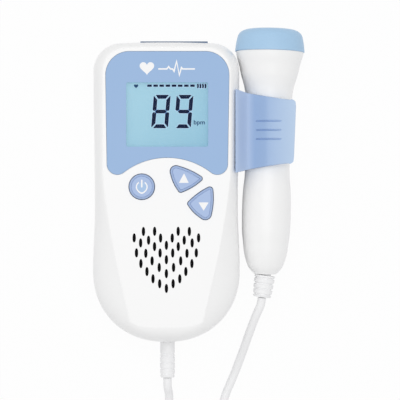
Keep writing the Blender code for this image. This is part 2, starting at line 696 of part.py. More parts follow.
def casing_half(inset):
    """The right half of the casing's outline, from the top end's middle to the bottom's."""
    corner_x = UNIT_HALF_WIDTH - CORNER_RADIUS
    corner_y = UNIT_HALF_LENGTH - TOP_CROWN - CORNER_RADIUS
    points = [(0.0, UNIT_HALF_LENGTH - inset)]
    for x in steps_between(0, corner_x, TOP_STEPS):
        points.append((x, UNIT_HALF_LENGTH - inset - TOP_CROWN * (x / corner_x) ** 2))
    points += arc(corner_x, corner_y, CORNER_RADIUS - inset, 90, 0, CORNER_STEPS)[1:]
    for y in steps_between(corner_y, BULGE_Y, SIDE_STEPS):
        points.append((casing_side(y, inset), y))
    half_width = UNIT_HALF_WIDTH + BULGE_OUTSET - inset
    depth = UNIT_HALF_LENGTH + BULGE_Y - inset
    return points + rounded_end(half_width, BULGE_Y, depth, END_POWER)


def panel_half(inset):
    """The right half of the raised panel's outline, with as many points as the casing's."""
    corner_x = PANEL_HALF_WIDTH - PANEL_CORNER
    corner_y = PANEL_TOP - PANEL_CROWN - PANEL_CORNER
    points = [(0.0, PANEL_TOP - inset)]
    for x in steps_between(0, corner_x, TOP_STEPS):
        points.append((x, PANEL_TOP - inset - PANEL_CROWN * (x / corner_x) ** 2))
    points += arc(corner_x, corner_y, PANEL_CORNER - inset, 90, 0, CORNER_STEPS)[1:]
    for y in steps_between(corner_y, PANEL_END_Y, SIDE_STEPS):
        share = max(0.0, (PANEL_TAPER_Y - y) / (PANEL_TAPER_Y - PANEL_END_Y))
        narrowing = (PANEL_HALF_WIDTH - PANEL_END_HALF_WIDTH) * share**PANEL_TAPER_POWER
        points.append((PANEL_HALF_WIDTH - inset - narrowing, y))
    depth = PANEL_END_Y - PANEL_BOTTOM - inset
    return points + rounded_end(PANEL_END_HALF_WIDTH - inset, PANEL_END_Y, depth, PANEL_END_POWER)


def ring(half, height):
    """A whole ring of points at one height from the right half of an outline."""
    right = [(x, y, height) for x, y in half]
    left = [(-x, y, height) for x, y in reversed(half[1:-1])]
    return right + left


def between(first, second, share):
    return [(a + (c - a) * share, b + (d - b) * share) for (a, b), (c, d) in zip(first, second)]


def loft(name, rings, material):
    """A closed skin through rings of as many points, capped at the first and the last."""
    shape = bmesh.new()
    loops = [[shape.verts.new(point) for point in points] for points in rings]
    for one, other in zip(loops, loops[1:]):
        for index in range(len(one)):
            after = (index + 1) % len(one)
            shape.faces.new((one[index], one[after], other[after], other[index]))
    shape.faces.new(loops[0])
    shape.faces.new(loops[-1])
    return add(name, mesh_from(name, shape), material)


def rounded_rectangle(x, y, half_x, half_y, radius, steps=3):
    """The outline of a rectangle with round corners."""
    points = []
    for start, sign_x, sign_y in ((0, 1, 1), (90, -1, 1), (180, -1, -1), (270, 1, -1)):
        centre_x = x + sign_x * (half_x - radius)
        centre_y = y + sign_y * (half_y - radius)
        points += arc(centre_x, centre_y, radius, start, start + 90, steps)
    return points


def petal(corners, grow):
    """The outline round three circles, with its sides bulging a little."""
    points = []
    count = len(corners)
    normals = []
    for index in range(count):
        x, y, radius = corners[index]
        next_x, next_y, next_radius = corners[(index + 1) % count]
        along = math.atan2(next_y - y, next_x - x)
        span = math.hypot(next_x - x, next_y - y)
        normals.append(along - math.acos((radius - next_radius) / span))
    for index in range(count):
        x, y, radius = corners[index]
        start = math.degrees(normals[index - 1])
        end = math.degrees(normals[index])
        if end < start:
            end += 360
        turn = arc(x, y, radius + grow, start, end, PETAL_CORNER_STEPS)
        points += turn
        next_x, next_y, next_radius = corners[(index + 1) % count]
        out_x, out_y = math.cos(normals[index]), math.sin(normals[index])
        end_x = next_x + (next_radius + grow) * out_x
        end_y = next_y + (next_radius + grow) * out_y
        for share in PETAL_SIDE_SHARES:
            bulge = PETAL_BULGE * 4 * share * (1 - share)
            points.append(
                (
                    turn[-1][0] + (end_x - turn[-1][0]) * share + bulge * out_x,
                    turn[-1][1] + (end_y - turn[-1][1]) * share + bulge * out_y,
                )
            )
    return points


def faceplate_outline(grow):
    """Round top corners, two lobes below, and an arch between them."""
    corner_x = FACEPLATE_HALF_WIDTH - FACEPLATE_CORNER
    corner_y = FACEPLATE_TOP - FACEPLATE_CORNER
    arch_y = ARCH_PEAK_Y - ARCH_RADIUS
    lobe_x = FACEPLATE_LOWER_HALF_WIDTH - FACEPLATE_LOBE
    lobe_y = arch_y + math.sqrt((ARCH_RADIUS + FACEPLATE_LOBE) ** 2 - lobe_x**2)
    meeting = math.degrees(math.atan2(lobe_y - arch_y, lobe_x))
    right = arc(corner_x, corner_y, FACEPLATE_CORNER + grow, 90, 0, 6)
    right += arc(lobe_x, lobe_y, FACEPLATE_LOBE + grow, 0, meeting - 180, 8)
    arch = arc(0.0, arch_y, ARCH_RADIUS - grow, meeting, 180 - meeting, 12)
    left = [(-x, y) for x, y in reversed(right)]
    return right + arch[1:-1] + left


def flank(outer, inner, top):
    """Rings up the front shell's flank, from the casing's outline to the panel's."""
    rings = []
    for angle in FLANK_ANGLES:
        share = (1 - math.cos(angle)) / (1 - math.cos(FLANK_ANGLES[-1]))
        height = FLANK_BASE + (top - FLANK_BASE) * math.sin(angle) / math.sin(FLANK_ANGLES[-1])
        rings.append(ring(between(outer, inner, share), height))
    return rings


def key_outline(name, grow):
    if name == "power_key":
        last = 360 * (POWER_KEY_SIDES - 1) / POWER_KEY_SIDES
        return arc(*POWER_KEY_PLACE, POWER_KEY_RADIUS + grow, 0, last, POWER_KEY_SIDES - 1)
    return petal(UP_KEY_CORNERS if name == "up_key" else DOWN_KEY_CORNERS, grow)


def key_middle(name):
    if name == "power_key":
        return POWER_KEY_PLACE
    corners = UP_KEY_CORNERS if name == "up_key" else DOWN_KEY_CORNERS
    return (sum(c[0] for c in corners) / 3, sum(c[1] for c in corners) / 3)


FACE = UNIT_DEPTH
INNER_FACE = UNIT_DEPTH - WALL
FRONT_RIM = PARTING_HEIGHT + FIT / 2
REAR_RIM = PARTING_HEIGHT - FIT / 2
BOARD_BACK = BOARD_FACE_HEIGHT - BOARD_THICKNESS
KEYS = ("power_key", "up_key", "down_key")


def grille_tools():
    """The grille's ovals: a middle column and mirrored pairs."""
    places = [(0.0, share) for share in MIDDLE_SLOT_SHARES]
    for across, down in PAIRED_SLOT_SHARES:
        places += [(across, down), (-across, down)]
    tools = []
    for across, down in places:
        x = across * GRILLE_HALF_WIDTH
        y = GRILLE_TOP_Y - down * GRILLE_HEIGHT
        start = (x, y, INNER_FACE - OVERRUN)
        slot = cylinder("slot", SLOT_HALF_WIDTH, start, (x, y, FACE + OVERRUN), sides=SLOT_SIDES)
        slot.scale = (1.0, SLOT_HALF_LENGTH / SLOT_HALF_WIDTH, 1.0)
        tools.append(slot)
    return tools


def front_shell():
    """The front half of the casing with its panel, bosses and openings."""
    outer = flank(casing_half(0), panel_half(0), FACE - PANEL_EDGE_DROP)
    inner = flank(casing_half(WALL), panel_half(PANEL_INNER_INSET), INNER_FACE)
    rings = [ring(panel_half(PANEL_EDGE_INSET), FACE)]
    rings += reversed(outer)
    rings.append(ring(casing_half(0), FRONT_RIM))
    rings.append(ring(casing_half(WALL), FRONT_RIM))
    rings += inner
    shell = loft("front_shell", rings, WHITE_SHELL)
    boss_top = INNER_FACE + FILL / 2
    bosses = [
        cylinder("boss", FRONT_BOSS_RADIUS, (x, y, FRONT_RIM), (x, y, boss_top), sides=SMALL_SIDES)
        for x, y in CASE_SCREW_PLACES
    ]
    for x, y in BOARD_SCREW_PLACES:
        start = (x, y, BOARD_FACE_HEIGHT + FIT)
        bosses.append(cylinder("post", BOARD_POST_RADIUS, start, (x, y, boss_top), sides=SMALL_SIDES))
    inner_radius = SPEAKER_RADIUS + FIT
    outer_radius = inner_radius + SPEAKER_RING_THICKNESS
    low = INNER_FACE - SPEAKER_RING_DEPTH
    profile = [(inner_radius, boss_top), (outer_radius, boss_top), (outer_radius, low), (inner_radius, low)]
    bosses.append(turned("speaker_ring", profile, place=(0, SPEAKER_Y, 0)))
    join(shell, *bosses)
    cut(shell, plate("recess", faceplate_outline(FIT), FACE - FACEPLATE_RECESS, FACE + OVERRUN))
    window = rounded_rectangle(
        0.0,
        DISPLAY_Y,
        DISPLAY_HALF_WIDTH + WINDOW_MARGIN + FIT,
        DISPLAY_HALF_HEIGHT + WINDOW_MARGIN + FIT,
        DISPLAY_CORNER,
    )
    openings = [plate("window", window, INNER_FACE - OVERRUN, FACE + OVERRUN)]
    for name in KEYS:
        outline = key_outline(name, FIT)
        openings.append(plate(name + "_hole", outline, INNER_FACE - OVERRUN, FACE + OVERRUN))
    for x, y in CASE_SCREW_PLACES:
        openings.append(
            cylinder(
                "pilot",
                CASE_SCREW_RADIUS + FIT,
                (x, y, FRONT_RIM - OVERRUN),
                (x, y, CASE_SCREW_TIP + FIT),
                sides=SMALL_SIDES,
            )
        )
    for x, y in BOARD_SCREW_PLACES:
        start = (x, y, BOARD_FACE_HEIGHT - FIT)
        end = (x, y, BOARD_BACK + BOARD_SCREW_LENGTH + FIT)
        openings.append(cylinder("pilot", BOARD_SCREW_RADIUS + FIT, start, end, sides=SMALL_SIDES))
    for y in CLIP_SCREW_YS:
        start = (CLIP_SCREW_SEAT_X - OVERRUN, y, CLIP_SCREW_HEIGHT)
        end = (CLIP_BASE_X + OVERRUN, y, CLIP_SCREW_HEIGHT)
        openings.append(cylinder("screw_hole", CLIP_SCREW_RADIUS + FIT, start, end, sides=SMALL_SIDES))
    cut(shell, *openings, *grille_tools())
    low = (PORT_COVER_X - PORT_COVER_HALF_WIDTH - FIT, PORT_COVER_INNER_Y - FIT, PORT_COVER_LOW - FIT)
    high = (PORT_COVER_X + PORT_COVER_HALF_WIDTH + FIT, UNIT_HALF_LENGTH + OVERRUN, PORT_COVER_HIGH + FIT)
    cut(shell, block("cover_recess", low, high))
    height = headphone_height()
    start_y = UNIT_HALF_LENGTH - WALL - OVERRUN
    end_y = UNIT_HALF_LENGTH + OVERRUN
    size_x, _, size_z = CHARGING_SIZE
    cut(
        shell,
        cylinder(
            "headphone_hole",
            HEADPHONE_NOZZLE_RADIUS + FIT,
            (HEADPHONE_X, start_y, height),
            (HEADPHONE_X, end_y, height),
        ),
        block(
            "charging_hole",
            (CHARGING_X - size_x / 2 - FIT, start_y, BOARD_BACK - FIT - size_z - FIT),
            (CHARGING_X + size_x / 2 + FIT, end_y, BOARD_BACK),
        ),
    )
    return shell


def back_edge(inset, floor, edge_inset, edge_height):
    """Rings from a flat floor round the back edge to the straight side."""
    rings = []
    for angle in BACK_ANGLES:
        half = casing_half(inset + edge_inset * (1 - math.cos(angle)))
        rings.append(ring(half, floor + edge_height * (1 - math.sin(angle))))
    return rings


def door_range():
    """The battery door's lowest and highest Y."""
    return COMPARTMENT_Y - DOOR_HALF_LENGTH, COMPARTMENT_Y + DOOR_HALF_LENGTH


def rear_shell():
    """The back half of the casing with the battery compartment, bosses and plug hole."""
    rings = back_edge(0, 0.0, BACK_EDGE_INSET, BACK_EDGE_HEIGHT)
    rings.append(ring(casing_half(0), REAR_RIM))
    rings.append(ring(casing_half(WALL), REAR_RIM))
    rings += reversed(back_edge(WALL, WALL, BACK_EDGE_INSET - WALL / 2, BACK_EDGE_HEIGHT - WALL))
    shell = loft("rear_shell", rings, WHITE_SHELL)
    door_low, door_high = door_range()
    wide = DOOR_HALF_WIDTH + FIT + LEDGE_BLOCK_WIDTH
    join(
        shell,
        block(
            "ledge",
            (-wide, door_low - FIT - LEDGE_BLOCK_WIDTH, FILL),
            (wide, door_high + FIT + LEDGE_BLOCK_WIDTH, LEDGE_BLOCK_HIGH),
        ),
        *[
            cylinder("boss", CASE_BOSS_RADIUS, (x, y, FILL), (x, y, REAR_RIM), sides=SMALL_SIDES)
            for x, y in CASE_SCREW_PLACES
        ],
        *[
            cylinder(
                "socket_post",
                SOCKET_POST_RADIUS,
                (PLUG_X + side * SOCKET_POST_X, socket_board_y(), FILL),
                (PLUG_X + side * SOCKET_POST_X, socket_board_y(), socket_board_low() - FIT),
                sides=SMALL_SIDES,
            )
            for side in (-1, 1)
        ],
    )
    half_x = COMPARTMENT_HALF_WIDTH + COMPARTMENT_WALL
    half_y = COMPARTMENT_HALF_LENGTH + COMPARTMENT_WALL
    tub_low = (-half_x, COMPARTMENT_Y - half_y, 2 * FILL)
    join(shell, block("tub", tub_low, (half_x, COMPARTMENT_Y + half_y, COMPARTMENT_TOP + COMPARTMENT_WALL)))
    cut(
        shell,
        block(
            "compartment",
            (-COMPARTMENT_HALF_WIDTH, COMPARTMENT_Y - COMPARTMENT_HALF_LENGTH, -OVERRUN),
            (COMPARTMENT_HALF_WIDTH, COMPARTMENT_Y + COMPARTMENT_HALF_LENGTH, COMPARTMENT_TOP),
        ),
        *[
            cylinder(
                "counterbore",
                CASE_COUNTERBORE_RADIUS,
                (x, y, -OVERRUN),
                (x, y, CASE_SCREW_SEAT),
                sides=SMALL_SIDES,
            )
            for x, y in CASE_SCREW_PLACES
        ],
        cylinder(
            "plug_hole",
            PROBE_SOCKET_NOZZLE_RADIUS + FIT,
            (PLUG_X, -UNIT_HALF_LENGTH - OVERRUN, PLUG_HEIGHT),
            (PLUG_X, -UNIT_HALF_LENGTH + WALL + OVERRUN, PLUG_HEIGHT),
        ),
    )
    recess_low = (-DOOR_HALF_WIDTH - FIT, door_low - FIT, -OVERRUN)
    recess_high = (DOOR_HALF_WIDTH + FIT, door_high + FIT, DOOR_LEDGE_HEIGHT)
    cut(
        shell,
        block("door_recess", recess_low, recess_high),
        *[
            cylinder(
                "screw_hole",
                CASE_SCREW_RADIUS + FIT,
                (x, y, CASE_SCREW_SEAT - FIT),
                (x, y, REAR_RIM + OVERRUN),
                sides=SMALL_SIDES,
            )
            for x, y in CASE_SCREW_PLACES
        ],
    )
    pocket_high = tongue_high() + TONGUE_ROOM
    pocket_far = door_high + TONGUE_REACH + FIT + FIT
    pocket_near = COMPARTMENT_Y + COMPARTMENT_HALF_LENGTH - FILL
    pockets = [
        block(
            "tongue_pocket",
            (side * TONGUE_X - TONGUE_HALF_WIDTH - FIT, pocket_near, DOOR_LEDGE_HEIGHT - FIT / 2),
            (side * TONGUE_X + TONGUE_HALF_WIDTH + FIT, pocket_far, pocket_high),
        )
        for side in (-1, 1)
    ]
    latch_far = door_low + LATCH_INSET - LATCH_ROOM + FIT
    latch_near = COMPARTMENT_Y - COMPARTMENT_HALF_LENGTH + FILL
    pockets.append(
        block(
            "latch_pocket",
            (-LATCH_HALF_WIDTH - FIT, latch_far, DOOR_LEDGE_HEIGHT - FIT / 2),
            (LATCH_HALF_WIDTH + FIT, latch_near, LATCH_HIGH + LATCH_ROOM),
        )
    )
    cut(shell, *pockets)
    return shell


def faceplate():
    low = FACE - FACEPLATE_RECESS + FIT
    made = plate("faceplate", faceplate_outline(0.0), low, low + FACEPLATE_THICKNESS, BLUE_PLATE)
    opening = rounded_rectangle(0.0, DISPLAY_Y, DISPLAY_HALF_WIDTH, DISPLAY_HALF_HEIGHT, DISPLAY_CORNER)
    return cut(made, plate("opening", opening, low - OVERRUN, FACE + OVERRUN))


def display():
    """The window, the glass under it, its backlight and the frame that holds them."""
    half_x = DISPLAY_HALF_WIDTH + WINDOW_MARGIN
    half_y = DISPLAY_HALF_HEIGHT + WINDOW_MARGIN
    high = FACE - FACEPLATE_RECESS
    outline = rounded_rectangle(0.0, DISPLAY_Y, half_x, half_y, DISPLAY_CORNER)
    plate("display_window", outline, high - WINDOW_THICKNESS, high, CLEAR_WINDOW)
    glass_high = high - WINDOW_THICKNESS - FIT
    glass_low = glass_high - GLASS_THICKNESS
    plate("lcd_glass", outline, glass_low, glass_high, DISPLAY_BLUE)
    strip_low_y = DISPLAY_Y - half_y + FIT
    strip_high_y = strip_low_y + STRIP_WIDTH
    light_high = glass_low - FIT
    light_low = light_high - BACKLIGHT_THICKNESS
    block(
        "lcd_backlight",
        (-half_x, strip_high_y + FIT, light_low),
        (half_x, DISPLAY_Y + half_y, light_high),
        LIGHT_GUIDE,
    )
    frame_low = BOARD_FACE_HEIGHT + FIT
    block(
        "zebra_strip",
        (-STRIP_HALF_LENGTH, strip_low_y, frame_low),
        (STRIP_HALF_LENGTH, strip_high_y, glass_low - FIT),
        STRIP_RUBBER,
    )
    pocket_x = half_x + FIT
    pocket_y = half_y + FIT
    frame = block(
        "lcd_frame",
        (-pocket_x - FRAME_WALL, DISPLAY_Y - pocket_y - FRAME_WALL, frame_low),
        (pocket_x + FRAME_WALL, DISPLAY_Y + pocket_y + FRAME_WALL, INNER_FACE - FIT),
        FRAME_PLASTIC,
    )
    floor = light_low - FIT
    cut(
        frame,
        block(
            "pocket",
            (-pocket_x, DISPLAY_Y - pocket_y, floor),
            (pocket_x, DISPLAY_Y + pocket_y, FACE),
        ),
    )
    cut(
        frame,
        block(
            "strip_slot",
            (-STRIP_HALF_LENGTH - FIT, strip_low_y - FIT / 2, frame_low - OVERRUN),
            (STRIP_HALF_LENGTH + FIT, strip_high_y + FIT, floor + FIT),
        ),
    )


def keys():
    """Three keys, each with a flange under the face and a stem over its switch."""
    flange_high = INNER_FACE - FIT
    flange_low = flange_high - KEY_FLANGE_THICKNESS
    switch_low = BOARD_FACE_HEIGHT + FIT
    plunger_high = switch_low + SWITCH_HEIGHT + SWITCH_PLUNGER_HEIGHT
    stem_low = plunger_high + KEY_TRAVEL + FIT / 2
    for name in KEYS:
        x, y = key_middle(name)
        key = plate(name, key_outline(name, 0.0), flange_high - FIT, FACE + KEY_PROUD, KEY_BLUE)
        round_edges(key, KEY_EDGE, 2)
        join(
            key,
            plate("flange", key_outline(name, KEY_FLANGE), flange_low, flange_high),
        )
        stem_high = flange_high - FIT
        stem = cylinder("stem", KEY_STEM_RADIUS, (x, y, stem_low), (x, y, stem_high), sides=SMALL_SIDES)
        join(key, stem)
        pivot(key, (x, y, FACE))
        half = SWITCH_SIZE / 2
        switch = block(
            name.replace("key", "switch"),
            (x - half, y - half, switch_low),
            (x + half, y + half, switch_low + SWITCH_HEIGHT),
            BRIGHT_METAL,
        )
        start = (x, y, switch_low + FIT)
        end = (x, y, plunger_high)
        join(switch, cylinder("plunger", SWITCH_PLUNGER_RADIUS, start, end, sides=SMALL_SIDES))


def speaker():
    """The speaker's basket, cone and magnet behind the grille."""
    high = INNER_FACE - FIT
    rim_low = high - SPEAKER_RIM_THICKNESS
    low = high - SPEAKER_DEPTH
    back_high = low + SPEAKER_BACK_THICKNESS
    rim_inner = SPEAKER_RADIUS - SPEAKER_RIM_WIDTH
    basket = [
        (rim_inner, high),
        (SPEAKER_RADIUS, high),
        (SPEAKER_RADIUS, rim_low),
        (rim_inner + FIT, rim_low),
        (SPEAKER_BACK_RADIUS, low),
        (SPEAKER_BACK_HOLE, low),
        (SPEAKER_BACK_HOLE, back_high),
        (SPEAKER_BACK_RADIUS - SPEAKER_BACK_THICKNESS, back_high),
        (rim_inner - SPEAKER_RIM_THICKNESS / 2, rim_low - FIT),
        (rim_inner, rim_low),
    ]
    place = (0, SPEAKER_Y, 0)
    turned("speaker_basket", basket, BRIGHT_METAL, place, sides=ROUND_SIDES)
    cone_radius = rim_inner - FIT
    cone_high = high - FIT
    bottom = cone_high - CONE_DEPTH
    cone = [
        (0.0, bottom + CONE_DOME),
        (CONE_CENTRE_RADIUS / 2, bottom + CONE_DOME / 2),
        (CONE_CENTRE_RADIUS, bottom),
        (cone_radius, cone_high),
        (cone_radius, cone_high - CONE_THICKNESS),
        (CONE_CENTRE_RADIUS, bottom - CONE_THICKNESS),
        (CONE_CENTRE_RADIUS / 2, bottom + CONE_DOME / 2 - CONE_THICKNESS),
        (0.0, bottom + CONE_DOME - CONE_THICKNESS),
    ]
    turned("speaker_cone", cone, CONE_PAPER, place, sides=ROUND_SIDES)
    magnet_high = low - FIT
    cylinder(
        "speaker_magnet",
        MAGNET_RADIUS,
        (0, SPEAKER_Y, magnet_high - MAGNET_THICKNESS),
        (0, SPEAKER_Y, magnet_high),
        BRIGHT_METAL,
        FINE_SIDES,
    )


def screw(name, place, direction, head_radius, head_height, shank_radius, length, material=BRIGHT_METAL):
    """A screw whose head's underside is at place, with a cross cut into its head."""
    turn = Vector(direction).to_track_quat("Z", "Y").to_euler()
    profile = [
        (0.0, length),
        (shank_radius, length - shank_radius),
        (shank_radius, 0.0),
        (head_radius, 0.0),
        (head_radius, -head_height),
        (0.0, -head_height),
    ]
    made = turned(name, profile, material, place, turn, SCREW_SIDES)
    frame = made.matrix_basis
    half, arm, deep = head_radius * 0.15, head_radius * 0.55, head_height * 0.5
    for low, high in (((-half, -arm), (half, arm)), ((-arm, -half), (arm, half))):
        slot = block("cross", (*low, -head_height - OVERRUN), (*high, deep - head_height))
        slot.matrix_basis = frame @ slot.matrix_basis
        cut(made, slot)
    return made


def main_board():
    """The board, its screws and the parts on its back."""
    right = [
        (BOARD_NECK_HALF_WIDTH, BOARD_TOP),
        (BOARD_NECK_HALF_WIDTH, BOARD_NECK_Y),
        (BOARD_HALF_WIDTH - BOARD_CORNER, BOARD_NECK_Y),
        (BOARD_HALF_WIDTH, BOARD_NECK_Y - BOARD_CORNER),
        (BOARD_HALF_WIDTH, BOARD_BOTTOM + BOARD_CORNER),
        (BOARD_HALF_WIDTH - BOARD_CORNER, BOARD_BOTTOM),
    ]
    outline = right + [(-x, y) for x, y in reversed(right)]
    board = plate("main_board", outline, BOARD_BACK, BOARD_FACE_HEIGHT, BOARD_GREEN)
    holes = []
    for index, (x, y) in enumerate(BOARD_SCREW_PLACES, 1):
        start = (x, y, BOARD_BACK - OVERRUN)
        end = (x, y, BOARD_FACE_HEIGHT + OVERRUN)
        holes.append(cylinder("hole", BOARD_SCREW_RADIUS + FIT, start, end, sides=SMALL_SIDES))
        screw(
            f"board_screw_{index}",
            (x, y, BOARD_BACK - FIT),
            (0, 0, 1),
            BOARD_SCREW_HEAD_RADIUS,
            BOARD_SCREW_HEAD_HEIGHT,
            BOARD_SCREW_RADIUS,
            BOARD_SCREW_LENGTH,
        )
    cut(board, *holes)
    high = BOARD_BACK - FIT
    chips = (
        ("control_chip", CONTROL_CHIP_PLACE, CONTROL_CHIP_SIZE, CHIP_BLACK),
        ("audio_chip", AUDIO_CHIP_PLACE, AUDIO_CHIP_SIZE, CHIP_BLACK),
        ("quartz_crystal", CRYSTAL_PLACE, CRYSTAL_SIZE, BRIGHT_METAL),
    )
    for name, (x, y), (wide, long, deep), material in chips:
        low_corner = (x - wide / 2, y - long / 2, high - deep)
        block(name, low_corner, (x + wide / 2, y + long / 2, high), material, edge=deep * CHIP_EDGE_SHARE)
    x, y = CAPACITOR_PLACE
    cylinder("capacitor", CAPACITOR_RADIUS, (x, y, high - CAPACITOR_HEIGHT), (x, y, high), CHIP_BLACK)


def headphone_height():
    return BOARD_BACK - FIT - HEADPHONE_BODY[2] / 2


def nozzle_end():
    """How far the top sockets reach, just short of the cover."""
    return PORT_COVER_INNER_Y - FIT


def top_sockets():
    """The headphone and charging sockets under the main board."""
    wide, long, deep = HEADPHONE_BODY
    high = BOARD_BACK - FIT
    body_end = UNIT_HALF_LENGTH - WALL - TOP_CROWN - FIT
    jack = block(
        "headphone_jack",
        (HEADPHONE_X - wide / 2, body_end - long, high - deep),
        (HEADPHONE_X + wide / 2, body_end, high),
        CHIP_BLACK,
    )
    middle_height = headphone_height()
    join(
        jack,
        cylinder(
            "nozzle",
            HEADPHONE_NOZZLE_RADIUS,
            (HEADPHONE_X, body_end - FILL, middle_height),
            (HEADPHONE_X, nozzle_end(), middle_height),
        ),
    )
    cut(
        jack,
        cylinder(
            "bore",
            HEADPHONE_BORE_RADIUS,
            (HEADPHONE_X, nozzle_end() - HEADPHONE_BORE_DEPTH, middle_height),
            (HEADPHONE_X, nozzle_end() + OVERRUN, middle_height),
            sides=SMALL_SIDES,
        ),
    )
    wide, long, deep = CHARGING_SIZE
    socket = block(
        "charging_socket",
        (CHARGING_X - wide / 2, nozzle_end() - long, high - deep),
        (CHARGING_X + wide / 2, nozzle_end(), high),
        BRIGHT_METAL,
    )
    half = wide / 2 - CHARGING_WALL
    cut(
        socket,
        block(
            "mouth",
            (CHARGING_X - half, nozzle_end() - CHARGING_DEPTH, high - deep + CHARGING_WALL),
            (CHARGING_X + half, nozzle_end() + OVERRUN, high - CHARGING_WALL),
        ),
    )


def port_cover():
    """The soft cover over the top sockets, which folds down on its lower edge."""
    outer_y = PORT_COVER_INNER_Y + PORT_COVER_THICKNESS
    cover = block(
        "port_cover",
        (PORT_COVER_X - PORT_COVER_HALF_WIDTH, PORT_COVER_INNER_Y, PORT_COVER_LOW),
        (PORT_COVER_X + PORT_COVER_HALF_WIDTH, outer_y, PORT_COVER_HIGH),
        CAP_BLUE,
        edge=PORT_COVER_EDGE,
    )
    return pivot(cover, (PORT_COVER_X, outer_y, PORT_COVER_LOW))


def batteries():
    """Two cells side by side, one each way up, and the contacts at their ends."""
    profile = [
        (0.0, BATTERY_LENGTH / 2 + BATTERY_NIPPLE_LENGTH),
        (BATTERY_NIPPLE_RADIUS, BATTERY_LENGTH / 2 + BATTERY_NIPPLE_LENGTH),
        (BATTERY_NIPPLE_RADIUS, BATTERY_LENGTH / 2),
        (BATTERY_RIM_RADIUS, BATTERY_LENGTH / 2),
        (BATTERY_RADIUS, BATTERY_LENGTH / 2 - (BATTERY_RADIUS - BATTERY_RIM_RADIUS)),
        (BATTERY_RADIUS, -BATTERY_LENGTH / 2),
        (0.0, -BATTERY_LENGTH / 2),
    ]
    for name, side in (("battery_left", -1), ("battery_right", 1)):
        shift = side * BATTERY_NIPPLE_LENGTH / 2
        place = (side * BATTERY_X, COMPARTMENT_Y + shift, BATTERY_HEIGHT)
        turned(name, profile, BATTERY_WRAP, place, (side * math.pi / 2, 0, 0), ROUND_SIDES)
    end = COMPARTMENT_HALF_LENGTH - FIT
    cell_end = (BATTERY_LENGTH + BATTERY_NIPPLE_LENGTH) / 2 + FIT
    bridge_half = BATTERY_X + CONTACT_HALF_WIDTH
    contact("contact_bridge", 0.0, bridge_half, 1, end, cell_end)
    contact("contact_plus", -BATTERY_X, CONTACT_HALF_WIDTH, -1, end, cell_end)
    contact("contact_minus", BATTERY_X, CONTACT_HALF_WIDTH, -1, end, cell_end)


def contact(name, x, half_width, side, wall_y, cell_y):
    """A bent strip of sheet metal that stands by the compartment's end and springs towards a cell."""
    mid = (CONTACT_LEAF_LOW + CONTACT_LEAF_HIGH) / 2
    back = [
        (wall_y, CONTACT_LOW),
        (wall_y, CONTACT_LEAF_LOW),
        (cell_y + CONTACT_THICKNESS, mid),
        (wall_y, CONTACT_LEAF_HIGH),
        (wall_y, CONTACT_HIGH),
    ]
    face = [(y - CONTACT_THICKNESS, z) for y, z in reversed(back)]
    outline = [(COMPARTMENT_Y + side * y, z) for y, z in back + face]
    turn = (math.pi / 2, 0, math.pi / 2)
    return plate(name, outline, x - half_width, x + half_width, BRIGHT_METAL, turn)


def tongue_high():
    return DOOR_LEDGE_HEIGHT + FIT + TONGUE_THICKNESS


def battery_door():
    """The door in the back, with two tongues at its upper edge and a latch at its lower one."""
    low_y, high_y = door_range()
    inside = DOOR_SINK + DOOR_THICKNESS
    door = block(
        "battery_door",
        (-DOOR_HALF_WIDTH, low_y, DOOR_SINK),
        (DOOR_HALF_WIDTH, high_y, inside),
        WHITE_SHELL,
    )
    roots = []
    tips = []
    for side in (-1, 1):
        near_x = side * TONGUE_X - TONGUE_HALF_WIDTH
        far_x = side * TONGUE_X + TONGUE_HALF_WIDTH
        root_y = high_y - TONGUE_ROOT
        roots.append(block("root", (near_x, root_y, inside - FILL), (far_x, high_y - MERGE, tongue_high())))
        tip_low = (near_x, root_y, DOOR_LEDGE_HEIGHT + FIT)
        tips.append(block("tip", tip_low, (far_x, high_y + TONGUE_REACH, tongue_high())))
    latch_y = low_y + LATCH_INSET + LATCH_ROOM
    roots.append(
        block(
            "latch",
            (-LATCH_HALF_WIDTH, latch_y, inside - FILL),
            (LATCH_HALF_WIDTH, latch_y + LATCH_THICKNESS, LATCH_HIGH),
        )
    )
    join(door, *roots)
    join(door, *tips)
    return pivot(door, (0, high_y, DOOR_SINK))


def case_screws():
    for index, (x, y) in enumerate(CASE_SCREW_PLACES, 1):
        screw(
            f"case_screw_{index}",
            (x, y, CASE_SCREW_SEAT - FIT),
            (0, 0, 1),
            CASE_SCREW_HEAD_RADIUS,
            CASE_SCREW_HEAD_HEIGHT,
            CASE_SCREW_RADIUS,
            CASE_SCREW_TIP - CASE_SCREW_SEAT,
        )


def socket_board_low():
    return PLUG_HEIGHT - PROBE_SOCKET_SIZE[2] / 2 - FIT - SOCKET_BOARD_SIZE[2]


def socket_board_y():
    return PROBE_SOCKET_END_Y + SOCKET_BOARD_SETBACK + SOCKET_BOARD_SIZE[1] / 2


